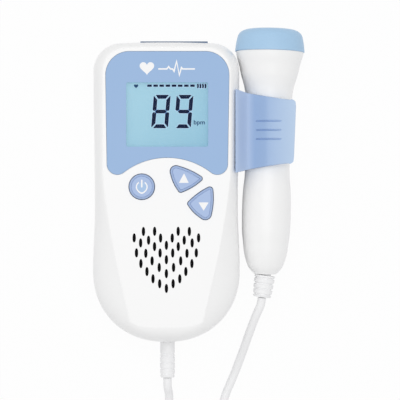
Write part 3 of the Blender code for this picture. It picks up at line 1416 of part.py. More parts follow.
def probe_socket():
    """The socket that takes the probe's plug, and the small board it stands on."""
    wide, long, deep = PROBE_SOCKET_SIZE
    socket = block(
        "probe_socket",
        (PLUG_X - wide / 2, PROBE_SOCKET_END_Y, PLUG_HEIGHT - deep / 2),
        (PLUG_X + wide / 2, PROBE_SOCKET_END_Y + long, PLUG_HEIGHT + deep / 2),
        CHIP_BLACK,
    )
    join(
        socket,
        cylinder(
            "nozzle",
            PROBE_SOCKET_NOZZLE_RADIUS,
            (PLUG_X, PROBE_SOCKET_NOZZLE_END_Y, PLUG_HEIGHT),
            (PLUG_X, PROBE_SOCKET_END_Y + FILL, PLUG_HEIGHT),
        ),
    )
    cut(
        socket,
        cylinder(
            "bore",
            PLUG_PIN_RADIUS + FIT,
            (PLUG_X, PROBE_SOCKET_NOZZLE_END_Y - OVERRUN, PLUG_HEIGHT),
            (PLUG_X, PROBE_SOCKET_NOZZLE_END_Y + PROBE_SOCKET_BORE_DEPTH, PLUG_HEIGHT),
        ),
    )
    wide, long, thick = SOCKET_BOARD_SIZE
    low = socket_board_low()
    y = socket_board_y()
    block(
        "socket_board",
        (PLUG_X - wide / 2, y - long / 2, low),
        (PLUG_X + wide / 2, y + long / 2, low + thick),
        BOARD_GREEN,
    )


def grooved(top_radius, end_radius, start, end, count, width, depth):
    """A tapering outline down its length with square grooves round it, as (radius, height)."""
    points = []
    pitch = (start - end) / count
    near, far = (pitch - width) / 2, (pitch + width) / 2
    for index in range(count):
        for offset, inset in (near, 0.0), (near, depth), (far, depth), (far, 0.0):
            height = start - index * pitch - offset
            radius = lerp(top_radius, end_radius, (start - height) / (start - end))
            points.append((radius - inset, height))
    return points


def lerp(first, second, share):
    return first + (second - first) * share


def plug_boot_front():
    return -UNIT_HALF_LENGTH - PLUG_GAP


def plug_boot_end():
    return plug_boot_front() - PLUG_BOOT_LENGTH


def plug():
    """The plug's pin and the boot round it, along -Y from the unit's bottom end."""
    front = plug_boot_front()
    place = (PLUG_X, front, PLUG_HEIGHT)
    turn = (-math.pi / 2, 0, 0)
    edge = PLUG_GROOVE_DEPTH
    boot = [(0.0, 0.0), (PLUG_BOOT_RADIUS - edge, 0.0), (PLUG_BOOT_RADIUS, -edge)]
    boot.append((PLUG_BOOT_RADIUS, -PLUG_COLLAR_LENGTH))
    boot += grooved(
        PLUG_BOOT_RADIUS - edge / 2,
        PLUG_BOOT_END_RADIUS,
        -PLUG_COLLAR_LENGTH,
        -PLUG_BOOT_LENGTH,
        PLUG_GROOVE_COUNT,
        PLUG_GROOVE_WIDTH,
        PLUG_GROOVE_DEPTH,
    )
    boot += [(PLUG_BOOT_END_RADIUS, -PLUG_BOOT_LENGTH), (0.0, -PLUG_BOOT_LENGTH)]
    turned("plug_boot", boot, CORD_WHITE, place, turn, SMALL_SIDES)
    low = FIT
    high = low + PLUG_PIN_LENGTH
    pin = [
        (0.0, high),
        (PLUG_PIN_RADIUS / 2, high),
        (PLUG_PIN_RADIUS, high - PLUG_PIN_TIP),
        (PLUG_PIN_RADIUS, low),
        (0.0, low),
    ]
    turned("plug_pin", pin, BRIGHT_METAL, place, turn, SMALL_SIDES)


def probe_axis_x(y):
    """Where the leaning probe's axis is at a height along the unit."""
    return PROBE_FOOT[0] - (y - PROBE_FOOT[1]) * math.tan(PROBE_TILT)


def clip():
    """A fork whose arms go in front of and behind the probe, screwed to the unit's side."""
    x = probe_axis_x(CLIP_GROOVE_Y)
    inner_high = PROBE_HEIGHT + CLIP_INNER_RADIUS
    inner_low = PROBE_HEIGHT - CLIP_INNER_RADIUS
    outer_low = inner_low - CLIP_REAR_THICKNESS
    profile = [(CLIP_LEFT_X, CLIP_FLANGE_HIGH)]
    for step in range(1, CLIP_ARC_STEPS + 1):
        share = step / CLIP_ARC_STEPS
        here = lerp(CLIP_LEFT_X, CLIP_VALLEY_X, share)
        profile.append((here, lerp(CLIP_FLANGE_HIGH, CLIP_VALLEY_HEIGHT, ease(share))))
    for step in range(1, CLIP_ARC_STEPS + 1):
        share = step / CLIP_ARC_STEPS
        here = lerp(CLIP_VALLEY_X, x, share)
        profile.append((here, lerp(CLIP_VALLEY_HEIGHT, CLIP_CREST_HEIGHT, ease(share))))
    for step in range(1, CLIP_ARC_STEPS + 1):
        share = step / CLIP_ARC_STEPS
        here = lerp(x, CLIP_RIGHT_X, share)
        profile.append((here, lerp(CLIP_CREST_HEIGHT, CLIP_TIP_HEIGHT, share * share)))
    profile.append((CLIP_RIGHT_X, inner_high))
    profile += arc(x, PROBE_HEIGHT, CLIP_INNER_RADIUS, 90, 270, 2 * CLIP_ARC_STEPS)
    profile += [(CLIP_REAR_END_X, inner_low), (CLIP_REAR_END_X, outer_low)]
    corner = CLIP_REAR_CORNER
    profile += arc(CLIP_BASE_X + corner, outer_low + corner, corner, 270, 180, 3)
    profile += [(CLIP_BASE_X, CLIP_FLANGE_ROOT), (CLIP_LEFT_X, CLIP_FLANGE_LOW)]
    fork = plate(
        "probe_clip",
        profile,
        -CLIP_LEFT_HIGH_Y - OVERRUN,
        -CLIP_LEFT_LOW_Y + OVERRUN,
        CLIP_BLUE,
        (math.pi / 2, 0, 0),
    )
    boolean(fork, "INTERSECT", plate("outline", clip_outline(), outer_low - OVERRUN, UNIT_DEPTH + OVERRUN))
    grooves = []
    for index in range(CLIP_GROOVE_COUNT):
        y = CLIP_GROOVE_Y + (index - (CLIP_GROOVE_COUNT - 1) / 2) * CLIP_GROOVE_PITCH
        start = (x - CLIP_GROOVE_HALF_LENGTH, y, CLIP_CREST_HEIGHT)
        end = (x + CLIP_GROOVE_HALF_LENGTH, y, CLIP_CREST_HEIGHT)
        grooves.append(cylinder("groove", CLIP_GROOVE_RADIUS, start, end, sides=8))
    for y in CLIP_SCREW_YS:
        start = (CLIP_BASE_X - OVERRUN, y, CLIP_SCREW_HEIGHT)
        end = (CLIP_SCREW_TIP_X + FIT, y, CLIP_SCREW_HEIGHT)
        grooves.append(cylinder("screw_hole", CLIP_SCREW_RADIUS + FIT, start, end, sides=SMALL_SIDES))
    cut(fork, *grooves)
    for name, y in zip(("clip_screw_lower", "clip_screw_upper"), CLIP_SCREW_YS):
        screw(
            name,
            (CLIP_SCREW_SEAT_X - FIT, y, CLIP_SCREW_HEIGHT),
            (1, 0, 0),
            CLIP_SCREW_HEAD_RADIUS,
            CLIP_SCREW_HEAD_HEIGHT,
            CLIP_SCREW_RADIUS,
            CLIP_SCREW_TIP_X - CLIP_SCREW_SEAT_X + FIT,
        )


def clip_outline():
    """The clip seen from the front: tall on the unit's side, and bowed towards its round tip."""
    points = []
    for step in range(CLIP_ARC_STEPS + 1):
        share = step / CLIP_ARC_STEPS
        bow = CLIP_EDGE_BOW * 4 * share * (1 - share)
        x = lerp(CLIP_LEFT_X - FIT, CLIP_RIGHT_X - CLIP_CORNER, share)
        points.append((x, lerp(CLIP_LEFT_LOW_Y, CLIP_RIGHT_LOW_Y, share) + bow))
    low = points[-1][1] + CLIP_CORNER
    points += arc(CLIP_RIGHT_X - CLIP_CORNER, low, CLIP_CORNER, 270, 360, 4)[1:]
    high = CLIP_RIGHT_HIGH_Y - CLIP_CORNER
    points += arc(CLIP_RIGHT_X - CLIP_CORNER, high, CLIP_CORNER, 0, 90, 4)
    for step in range(1, CLIP_ARC_STEPS + 1):
        share = step / CLIP_ARC_STEPS
        bow = CLIP_EDGE_BOW * 4 * share * (1 - share)
        x = lerp(CLIP_RIGHT_X - CLIP_CORNER, CLIP_LEFT_X - FIT, share)
        points.append((x, lerp(CLIP_RIGHT_HIGH_Y, CLIP_LEFT_HIGH_Y, share) - bow))
    return points


def probe_shells():
    """The probe's body, turned whole and then split into a front and a rear half."""
    outer = [
        (radius * PROBE_GRIP_RADIUS, height * PROBE_BODY_LENGTH)
        for height, radius in PROBE_PROFILE_SHARES
    ]
    spigot_radius = CAP_RADIUS - CAP_WALL - FIT
    spigot_high = PROBE_BODY_LENGTH + SPIGOT_HEIGHT
    top = [
        (spigot_radius - PROBE_WALL, spigot_high),
        (spigot_radius, spigot_high),
        (spigot_radius, PROBE_BODY_LENGTH + FIT / 2),
    ]
    inner = [
        (max(FOOT_HOLE_RADIUS, radius - PROBE_WALL), height)
        for radius, height in reversed(outer)
        if PROBE_WALL < height < PROBE_BODY_LENGTH - PROBE_WALL
    ]
    inner = [(FOOT_HOLE_RADIUS, 0.0), (FOOT_HOLE_RADIUS, PROBE_WALL)] + inner[::2]
    inner.append((spigot_radius - PROBE_WALL, PROBE_BODY_LENGTH - PROBE_WALL))
    reach = CAP_RADIUS + OVERRUN
    for name, side in (("probe_shell_front", -1), ("probe_shell_rear", 1)):
        shell = turned(name, top + outer + inner, WHITE_SHELL, parent=PROBE_FRAME, sides=FINE_SIDES)
        near, far = sorted((-side * reach, side * FIT / 2))
        high = spigot_high + OVERRUN
        cutter = block("half", (-reach, near, -OVERRUN), (reach, far, high), parent=PROBE_FRAME)
        cut(shell, cutter)


def probe_cap():
    """The soft cap over the transducers, hollow from below."""
    low = PROBE_BODY_LENGTH + FIT
    outer = [
        (radius * CAP_RADIUS, low + CAP_HEIGHT * (1 - down))
        for radius, down in CAP_SHARES
    ]
    roof = low + CAP_HEIGHT - CAP_WALL
    inner_radius = CAP_RADIUS - CAP_WALL
    inner = [
        (inner_radius, low),
        (inner_radius, PROBE_BODY_LENGTH + SPIGOT_HEIGHT + FIT),
        (HOLDER_RADIUS + FIT, roof - TRANSDUCER_THICKNESS - FIT),
        (TRANSDUCER_RADIUS + FIT, roof),
        (0.0, roof),
    ]
    profile = [(0.0, low + CAP_HEIGHT)] + outer + inner
    turned("probe_cap", profile, CAP_BLUE, parent=PROBE_FRAME)


def probe_inside():
    """The two half discs that send and receive, their holder, and the probe's board."""
    roof = PROBE_BODY_LENGTH + FIT + CAP_HEIGHT - CAP_WALL
    disc_high = roof - FIT
    disc_low = disc_high - TRANSDUCER_THICKNESS
    for name, side in (("transducer_left", -1), ("transducer_right", 1)):
        first = -90 if side > 0 else 90
        gap = TRANSDUCER_SPLIT / 2
        lean = math.degrees(math.asin(gap / TRANSDUCER_RADIUS))
        outline = arc(0.0, 0.0, TRANSDUCER_RADIUS, first + lean, first + 180 - lean, 12)
        plate(name, outline, disc_low, disc_high, CERAMIC, parent=PROBE_FRAME)
    holder_high = disc_low - FIT
    spigot_high = PROBE_BODY_LENGTH + SPIGOT_HEIGHT
    holder = cylinder(
        "transducer_holder",
        HOLDER_RADIUS,
        (0, 0, spigot_high + FIT),
        (0, 0, holder_high),
        FRAME_PLASTIC,
        FINE_SIDES,
        PROBE_FRAME,
    )
    cut(
        holder,
        cylinder(
            "wire_hole",
            WIRE_HOLE_RADIUS,
            (0, 0, spigot_high - OVERRUN),
            (0, 0, holder_high + OVERRUN),
            parent=PROBE_FRAME,
        ),
    )
    block(
        "probe_board",
        (-PROBE_BOARD_HALF_WIDTH, -PROBE_BOARD_THICKNESS / 2, PROBE_BOARD_LOW),
        (PROBE_BOARD_HALF_WIDTH, PROBE_BOARD_THICKNESS / 2, PROBE_BOARD_HIGH),
        BOARD_GREEN,
        PROBE_FRAME,
    )


def probe_relief():
    """The ribbed strain relief where the lead leaves the probe's foot."""
    top = -FIT - RELIEF_TOP_RADIUS * math.sin(RELIEF_TURN)
    profile = [
        (0.0, RELIEF_ROOT_LENGTH),
        (RELIEF_ROOT_RADIUS, RELIEF_ROOT_LENGTH),
        (RELIEF_ROOT_RADIUS, top),
        (RELIEF_TOP_RADIUS, top),
    ]
    profile += grooved(
        RELIEF_TOP_RADIUS,
        RELIEF_END_RADIUS,
        top,
        -RELIEF_LENGTH,
        RELIEF_GROOVE_COUNT,
        RELIEF_GROOVE_WIDTH,
        RELIEF_GROOVE_DEPTH,
    )
    profile += [(RELIEF_END_RADIUS, -RELIEF_LENGTH), (0.0, -RELIEF_LENGTH)]
    turned("probe_strain_relief", profile, CORD_WHITE, parent=RELIEF_FRAME, sides=SMALL_SIDES)


def coil_turns():
    return COIL_WHOLE_TURNS - (COIL_EXIT - COIL_ENTRY) / math.tau


def coil_points():
    """The lead's turns: spiralling in on the surface, up a layer, and out again on top."""
    turns = coil_turns()
    count = round(turns * COIL_TURN_STEPS)
    halfway = turns / 2
    points = []
    for step in range(count + 1):
        turn = turns * step / count
        radius = COIL_LEAST_RADIUS + COIL_PITCH * abs(turn - halfway)
        angle = COIL_ENTRY - 2 * math.pi * turn
        climbed = ease((turn - halfway) / COIL_CLIMB_TURNS + 0.5)
        height = COIL_HEIGHT + COIL_PITCH * climbed
        points.append(
            Vector(
                (
                    COIL_CENTRE[0] + radius * math.cos(angle),
                    COIL_CENTRE[1] + radius * math.sin(angle),
                    height,
                )
            )
        )
    before = points[0] + (points[0] - points[1]).normalized() * 2 * CORD_RADIUS
    after = points[-1] + (points[-1] - points[-2]).normalized() * 2 * CORD_RADIUS
    return [before] + points + [after]


def smooth_route(points):
    """Points along a smooth curve through the given ones, about CORD_SPACING apart."""
    ends = [2 * points[0] - points[1]] + points + [2 * points[-1] - points[-2]]
    made = [points[0]]
    for a, b, c, d in zip(ends, ends[1:], ends[2:], ends[3:]):
        count = max(1, round((c - b).length / CORD_SPACING))
        for step in range(1, count + 1):
            t = step / count
            pull = (2 * a - 5 * b + 4 * c - d) * t * t + (3 * b - a - 3 * c + d) * t**3
            made.append(b + ((c - a) * t + pull) / 2)
    return made


def tube(name, points, resolution):
    """A round cord along points, with flat ends."""
    curve = bpy.data.curves.new(name, "CURVE")
    curve.dimensions = "3D"
    curve.bevel_depth = CORD_RADIUS
    curve.bevel_resolution = resolution
    curve.render_resolution_u = 0
    curve.use_fill_caps = True
    spline = curve.splines.new("POLY")
    spline.points.add(len(points) - 1)
    for place, point in zip(spline.points, points):
        place.co = (*point, 1)
    curve.materials.append(CORD_WHITE)
    made = bpy.data.objects.new(name, curve)
    made.parent = ORIGIN
    PIECES.objects.link(made)
    return made


def least_gap(points):
    """The least space between a cord's turns, from the points of its middle line."""
    least = math.inf
    apart = COIL_TURN_STEPS // 2
    for index, point in enumerate(points):
        for other in range(index + apart, len(points) - 1):
            span = points[other + 1] - points[other]
            share = max(0.0, min(1.0, (point - points[other]).dot(span) / span.length_squared))
            least = min(least, (point - points[other] - span * share).length)
    return least - 2 * CORD_RADIUS


def lead():
    """The cord from the probe to the coil, the coil, its tie, and the cord to the plug."""
    coil = coil_points()
    tube("cord_coil", coil, 1)
    print(f"cord_coil: least gap to itself {least_gap(coil) / MM:.2f} mm")
    entry = (coil[0] - coil[1]).normalized()
    leaving = (coil[-1] - coil[-2]).normalized()
    route = [Vector(point) for point in CORD_A_ROUTE]
    route += [coil[0] + entry * (FIT + 2 * CORD_RADIUS), coil[0] + entry * FIT]
    first = smooth_route(route)
    tube("probe_cord", first, 2)
    route = [coil[-1] + leaving * FIT, coil[-1] + leaving * (FIT + 2 * CORD_RADIUS)]
    route += [Vector(point) for point in CORD_B_ROUTE]
    route.append(Vector((PLUG_X, plug_boot_end() - FIT, PLUG_HEIGHT)))
    last = smooth_route(route)
    tube("plug_cord", last, 2)
    total = 0.0
    for points in (first, coil, last):
        total += sum((b - a).length for a, b in zip(points, points[1:]))
    print(f"lead: {total / MM:.0f} mm long")
    tie(coil)


def tie(coil):
    """A flat band round the bundle, on the coil's far side."""
    inner = COIL_LEAST_RADIUS - CORD_RADIUS - TIE_ROOM
    outer = COIL_LEAST_RADIUS + COIL_PITCH * coil_turns() / 2 + CORD_RADIUS
    low = COIL_HEIGHT - CORD_RADIUS - FIT
    high = COIL_HEIGHT + COIL_PITCH + CORD_RADIUS + FIT
    x, y = COIL_CENTRE
    band = block(
        "cord_tie",
        (x - TIE_HALF_WIDTH, y - outer - TIE_THICKNESS, low - TIE_THICKNESS),
        (x + TIE_HALF_WIDTH, y - inner + TIE_THICKNESS, high + TIE_THICKNESS),
        CORD_WHITE,
    )
    hollow = block(
        "hollow",
        (x - TIE_HALF_WIDTH - OVERRUN, y - outer, low),
        (x + TIE_HALF_WIDTH + OVERRUN, y - inner, high),
    )
    return cut(band, hollow)


def centre_on_origin():
    """Moves the frame so that the origin is under the middle of the unit and the probe."""
    bpy.context.view_layer.update()
    graph = bpy.context.evaluated_depsgraph_get()
    on_the_lead = ("probe_cord", "cord_coil", "cord_tie", "plug_cord", "plug_boot", "plug_pin")
    xs, ys = [], []
    for made in PIECES.objects:
        if made.type != "MESH" or made.name in on_the_lead:
            continue
        solid = made.evaluated_get(graph)
        for vertex in solid.data.vertices:
            place = solid.matrix_world @ vertex.co
            xs.append(place.x)
            ys.append(place.y)
    ORIGIN.location = (-(min(xs) + max(xs)) / 2, -(min(ys) + max(ys)) / 2, 0)
    print(f"unit's middle at {ORIGIN.location.x / MM:.3f}, {ORIGIN.location.y / MM:.3f} mm")


def main():
    front_shell()
    rear_shell()
    faceplate()
    display()
    keys()
    speaker()
    main_board()
    top_sockets()
    port_cover()
    batteries()
    battery_door()
    case_screws()
    probe_socket()
    plug()
    clip()
    probe_shells()
    probe_cap()
    probe_inside()
    probe_relief()
    lead()
    centre_on_origin()


main()
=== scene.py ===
"""Dresses a pocket fetal doppler monitor: hand unit, clip, probe and lead.

Shapes are written in millimetres about the middle of the unit, at the height of its back, and
UNIT_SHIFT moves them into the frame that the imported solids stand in. The probe's own shapes
have Z along the probe, from its foot to its cap.
"""

import logging
import math
from collections.abc import Callable, Mapping, Sequence
from dataclasses import dataclass, field
from enum import Enum

import bmesh
import bpy
from mathutils import Matrix, Vector


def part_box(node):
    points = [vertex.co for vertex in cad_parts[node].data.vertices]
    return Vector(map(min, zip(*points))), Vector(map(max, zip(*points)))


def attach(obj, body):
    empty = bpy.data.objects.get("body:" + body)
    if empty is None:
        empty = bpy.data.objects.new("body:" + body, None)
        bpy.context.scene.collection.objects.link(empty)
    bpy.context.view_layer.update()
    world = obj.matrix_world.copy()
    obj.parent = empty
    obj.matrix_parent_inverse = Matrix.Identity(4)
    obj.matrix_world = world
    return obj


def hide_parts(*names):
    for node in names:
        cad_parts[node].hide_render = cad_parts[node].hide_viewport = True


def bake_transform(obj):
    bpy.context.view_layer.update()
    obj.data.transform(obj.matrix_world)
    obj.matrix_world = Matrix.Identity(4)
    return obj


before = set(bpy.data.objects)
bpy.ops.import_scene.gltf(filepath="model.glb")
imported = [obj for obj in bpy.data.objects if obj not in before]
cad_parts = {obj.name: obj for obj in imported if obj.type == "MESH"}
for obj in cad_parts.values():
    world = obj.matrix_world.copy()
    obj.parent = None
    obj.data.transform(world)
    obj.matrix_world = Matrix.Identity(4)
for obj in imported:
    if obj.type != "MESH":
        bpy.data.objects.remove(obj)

LOG = logging.getLogger("fetal_doppler_monitor")
MM = 0.001
FIT = 0.3
MERGE = 0.002
OVERRUN = 2.0
SMOOTH_ANGLE = math.radians(32)

DISPLAY_MIDDLE = (0.0, 34.2)
GLASS_LOW, GLASS_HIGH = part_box("lcd_glass")
UNIT_SHIFT = Matrix.Translation(
    Vector(
        (
            (GLASS_LOW.x + GLASS_HIGH.x) / 2 - DISPLAY_MIDDLE[0] * MM,
            (GLASS_LOW.y + GLASS_HIGH.y) / 2 - DISPLAY_MIDDLE[1] * MM,
            0.0,
        )
    )
)
PROBE_FOOT = Vector((44.4, -36.8, 16.0))
PROBE_TILT = math.radians(-1.22)
PROBE_PLACE = (
    UNIT_SHIFT
    @ Matrix.Translation(PROBE_FOOT * MM)
    @ Matrix.Rotation(PROBE_TILT, 4, "Z")
    @ Matrix.Rotation(-math.pi / 2, 4, "X")
)
RELIEF_LEAN = math.radians(6.5)
RELIEF_PLACE = PROBE_PLACE @ Matrix.Rotation(RELIEF_LEAN, 4, "Y")

FACE = 32.0
WALL = 2.2
INNER_FACE = FACE - WALL
PARTING = 14.0
CLIP_SCREW_YS = (20.0, 34.0)
CLIP_SCREW_HEIGHT = 20.6
CLIP_SCREW_RADIUS = 1.15
DISPLAY_HALF = (18.1, 14.2)
DISPLAY_CORNER = 0.8
WINDOW_LIP = 1.1
PLUG_X = 0.5
PLUG_HEIGHT = 10.0

Point = tuple[float, float]
Place = tuple[float, float, float]
Colour = tuple[int, int, int]


# Outlines


def arc(x: float, y: float, radius: float, start: float, end: float, steps: int) -> list[Point]:
    """Points of a circle's arc with both ends, its angles in degrees."""
    angles = [math.radians(start + (end - start) * step / steps) for step in range(steps + 1)]
    return [(x + radius * math.cos(a), y + radius * math.sin(a)) for a in angles]


def ease(share: float) -> float:
    """Goes from 0 to 1 with no slope at its ends."""
    share = min(1.0, max(0.0, share))
    return share * share * (3 - 2 * share)


def lerp(first: float, second: float, share: float) -> float:
    """A value between two others."""
    return first + (second - first) * share


def steps_between(start: float, end: float, count: int) -> list[float]:
    """The values after start, up to end, in equal steps."""
    return [lerp(start, end, step / count) for step in range(1, count + 1)]


def rounded_rectangle(
    x: float, y: float, half_x: float, half_y: float, radius: float, steps: int = 6
) -> list[Point]:
    """The outline of a rectangle with round corners.

    Args:
        x: Its middle across.
        y: Its middle upwards.
        half_x: Half its width.
        half_y: Half its height.
        radius: Its corners' radius.
        steps: How many edges each corner has.

    Returns:
        The outline's points.
    """
    points: list[Point] = []
    for start, sign_x, sign_y in ((0, 1, 1), (90, -1, 1), (180, -1, -1), (270, 1, -1)):
        centre_x = x + sign_x * (half_x - radius)
        centre_y = y + sign_y * (half_y - radius)
        points += arc(centre_x, centre_y, radius, start, start + 90, steps)
    return points


def level(outline: Sequence[Point], height: float) -> list[Place]:
    """An outline laid at one height."""
    return [(x, y, height) for x, y in outline]


def circle(radius: float, height: float, sides: int) -> list[Place]:
    """A ring of points round Z."""
    return level(arc(0.0, 0.0, radius, 0, 360 * (sides - 1) / sides, sides - 1), height)


def heart(x: float, y: float, size: float, steps: int = 48) -> list[Point]:
    """The outline of a heart 32 sizes wide."""
    points = []
    for step in range(steps):
        t = math.tau * step / steps
        across = 16 * math.sin(t) ** 3
        up = 13 * math.cos(t) - 5 * math.cos(2 * t) - 2 * math.cos(3 * t) - math.cos(4 * t)
        points.append((x + across * size, y + up * size))
    return points


def curve_through(places: Sequence[Vector], edges: Callable[[float], int]) -> list[Vector]:
    """A Catmull-Rom curve through places.

    Args:
        places: What the curve runs through.
        edges: Gives how many edges a gap of some length takes.

    Returns:
        The curve's points.
    """
    ends = [2 * places[0] - places[1], *places, 2 * places[-1] - places[-2]]
    made = [places[0]]
    for a, b, c, d in zip(ends, ends[1:], ends[2:], ends[3:]):
        count = edges((c - b).length)
        for step in range(1, count + 1):
            t = step / count
            pull = (2 * a - 5 * b + 4 * c - d) * t * t + (3 * b - a - 3 * c + d) * t**3
            made.append(b + ((c - a) * t + pull) / 2)
    return made


def smooth_curve(points: Sequence[Point], steps: int) -> list[Point]:
    """A smooth curve through profile points, with some edges from each to the next."""
    made = curve_through([Vector(point) for point in points], lambda gap: steps)
    return [(place.x, place.y) for place in made]


# The bench: pieces are drawn up from primitives in edit mode


def clear_selection() -> None:
    """Deselects every object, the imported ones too."""
    bpy.ops.object.select_all(action="DESELECT")


def pick(*pieces: bpy.types.Object) -> None:
    """Selects these pieces alone and makes the first one active."""
    clear_selection()
    for piece in pieces:
        piece.select_set(True)
    bpy.context.view_layer.objects.active = pieces[0]


def merge_points() -> None:
    """Merges the edited mesh's doubled points, turns its faces outwards and leaves edit mode."""
    bpy.ops.mesh.select_all(action="SELECT")
    bpy.ops.mesh.remove_doubles(threshold=MERGE * MM)
    bpy.ops.mesh.normals_make_consistent(inside=False)
    bpy.ops.object.mode_set(mode="OBJECT")


class Skin:
    """A skin that starts as a ring of points and is extruded from ring to ring."""

    def __init__(self, name: str, ring: Sequence[Place]) -> None:
        """Adds the first ring as a circle and brings its points into place."""
        clear_selection()
        bpy.ops.mesh.primitive_circle_add(vertices=len(ring), radius=MM)
        self.piece = bpy.context.active_object
        self.piece.name = name
        self.piece.data.name = name
        for vertex, place in zip(self.piece.data.vertices, ring):
            vertex.co = Vector(place) * MM
        self.first = list(range(len(ring)))
        self.last = self.first
        bpy.ops.object.mode_set(mode="EDIT")
        bpy.ops.mesh.select_all(action="SELECT")

    def to(self, ring: Sequence[Place]) -> "Skin":
        """Extrudes the last ring to a next one with as many points."""
        bpy.ops.mesh.extrude_region_move(TRANSFORM_OT_translate={"value": (0.0, 0.0, 0.0)})
        shape = bmesh.from_edit_mesh(self.piece.data)
        shape.verts.ensure_lookup_table()
        shape.verts.index_update()
        order = []
        for index, place in zip(self.last, ring):
            old = shape.verts[index]
            drawn = [edge.other_vert(old) for edge in old.link_edges]
            new = old if old.select else next(vertex for vertex in drawn if vertex.select)
            new.co = Vector(place) * MM
            order.append(new.index)
        bmesh.update_edit_mesh(self.piece.data)
        self.last = order
        return self

    def close(self, order: Sequence[int]) -> None:
        """Fills one ring with a face."""
        bpy.ops.mesh.select_all(action="DESELECT")
        shape = bmesh.from_edit_mesh(self.piece.data)
        shape.verts.ensure_lookup_table()
        for index in order:
            shape.verts[index].select = True
        shape.select_flush(True)
        bmesh.update_edit_mesh(self.piece.data)
        bpy.ops.mesh.edge_face_add()

    def done(self, start: bool = True, end: bool = True) -> bpy.types.Object:
        """Closes the ends that are asked for and hands the piece over.

        Args:
            start: Whether the first ring gets a face.
            end: Whether the last ring gets a face.

        Returns:
            The piece, its faces pointing outwards.
        """
        if start:
            self.close(self.first)
        if end:
            self.close(self.last)
        merge_points()
        return self.piece


def drawn(name: str, rings: Sequence[Sequence[Place]], closed: bool = False) -> bpy.types.Object:
    """A skin through rings.

    Args:
        name: The piece's name.
        rings: The rings, each with as many points.
        closed: Whether the last ring runs back into the first, as in a hollow shell.

    Returns:
        The piece.
    """
    skin = Skin(name, rings[0])
    for ring in rings[1:]:
        skin.to(ring)
    if closed:
        skin.to(rings[0])
    return skin.done(not closed, not closed)


def plate(name: str, outline: Sequence[Point], low: float, high: float) -> bpy.types.Object:
    """A flat outline with a thickness."""
    return drawn(name, [level(outline, low), level(outline, high)])


def block(name: str, low: Place, high: Place) -> bpy.types.Object:
    """A straight block between two corners, used as a tool or as a start."""
    outline = [(low[0], low[1]), (high[0], low[1]), (high[0], high[1]), (low[0], high[1])]
    return plate(name, outline, low[2], high[2])


def turned(
    name: str, profile: Sequence[Point], sides: int = 64, hollow: bool = False
) -> bpy.types.Object:
    """A piece turned round Z from a profile of (radius, height)."""
    return drawn(name, [circle(radius, height, sides) for radius, height in profile], hollow)


def rod(name: str, radius: float, start: Place, end: Place, sides: int = 32) -> bpy.types.Object:
    """A round rod from the middle of one end to the middle of the other."""
    along = Vector(end) - Vector(start)
    made = turned(name, [(radius, 0.0), (radius, along.length)], sides)
    turn = along.to_track_quat("Z", "Y").to_matrix().to_4x4()
    return settle(made, Matrix.Translation(Vector(start) * MM) @ turn)


def settle(piece: bpy.types.Object, place: Matrix) -> bpy.types.Object:
    """Moves a piece's mesh, so that its object stays at the origin."""
    piece.data.transform(place)
    return piece


def joined(name: str, pieces: Sequence[bpy.types.Object]) -> bpy.types.Object:
    """Several pieces made into one."""
    pick(*pieces)
    if len(pieces) > 1:
        bpy.ops.object.join()
    pieces[0].name = name
    return pieces[0]


class Joint(Enum):
    """How a tool works on a piece."""

    CUT = "DIFFERENCE"
    ADD = "UNION"


def work(
    piece: bpy.types.Object, how: Joint, tools: Sequence[bpy.types.Object]
) -> bpy.types.Object:
    """Cuts or adds with tools that don't overlap each other.

    Args:
        piece: The piece that is worked on.
        how: What the tools do.
        tools: The tools, which are used up.

    Returns:
        The piece.
    """
    tool = joined("tool", tools)
    pick(piece)
    shaping = piece.modifiers.new("shaping", "BOOLEAN")
    shaping.operation = how.value
    shaping.solver = "EXACT"
    shaping.object = tool
    bpy.ops.object.modifier_apply(modifier=shaping.name)
    bpy.data.objects.remove(tool)
    return piece


def soften(piece: bpy.types.Object, width: float, segments: int = 2) -> bpy.types.Object:
    """Rounds a piece's sharp edges."""
    pick(piece)
    edge = piece.modifiers.new("soft_edges", "BEVEL")
    edge.width = width * MM
    edge.segments = segments
    edge.limit_method = "ANGLE"
    edge.angle_limit = math.radians(40)
    edge.use_clamp_overlap = False
    bpy.ops.object.modifier_apply(modifier=edge.name)
    return piece


def polish(piece: bpy.types.Object, angle: float = SMOOTH_ANGLE) -> bpy.types.Object:
    """Shades a piece smooth between its creases, with its flats kept flat."""
    pick(piece)
    bpy.ops.object.shade_smooth_by_angle(angle=angle)
    flats = piece.modifiers.new("flats", "WEIGHTED_NORMAL")
    flats.keep_sharp = True
    bpy.ops.object.modifier_apply(modifier=flats.name)
    return piece


def mount(
    piece: bpy.types.Object, coat: bpy.types.Material, body: str, slot: str, *nodes: str
) -> bpy.types.Object:
    """Gives a piece its finish, puts it on its body and hides the solids that it stands for.

    Args:
        piece: The finished piece.
        coat: Its material.
        body: The body that it moves with.
        slot: The material slot that it takes its finish from; not used.
        nodes: The solids that it replaces.

    Returns:
        The piece.
    """
    piece.data.materials.clear()
    piece.data.materials.append(coat)
    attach(piece, body)
    if nodes:
        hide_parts(*nodes)
    LOG.info("%s: %d faces", piece.name, len(piece.data.polygons))
    return piece


# Shader maths


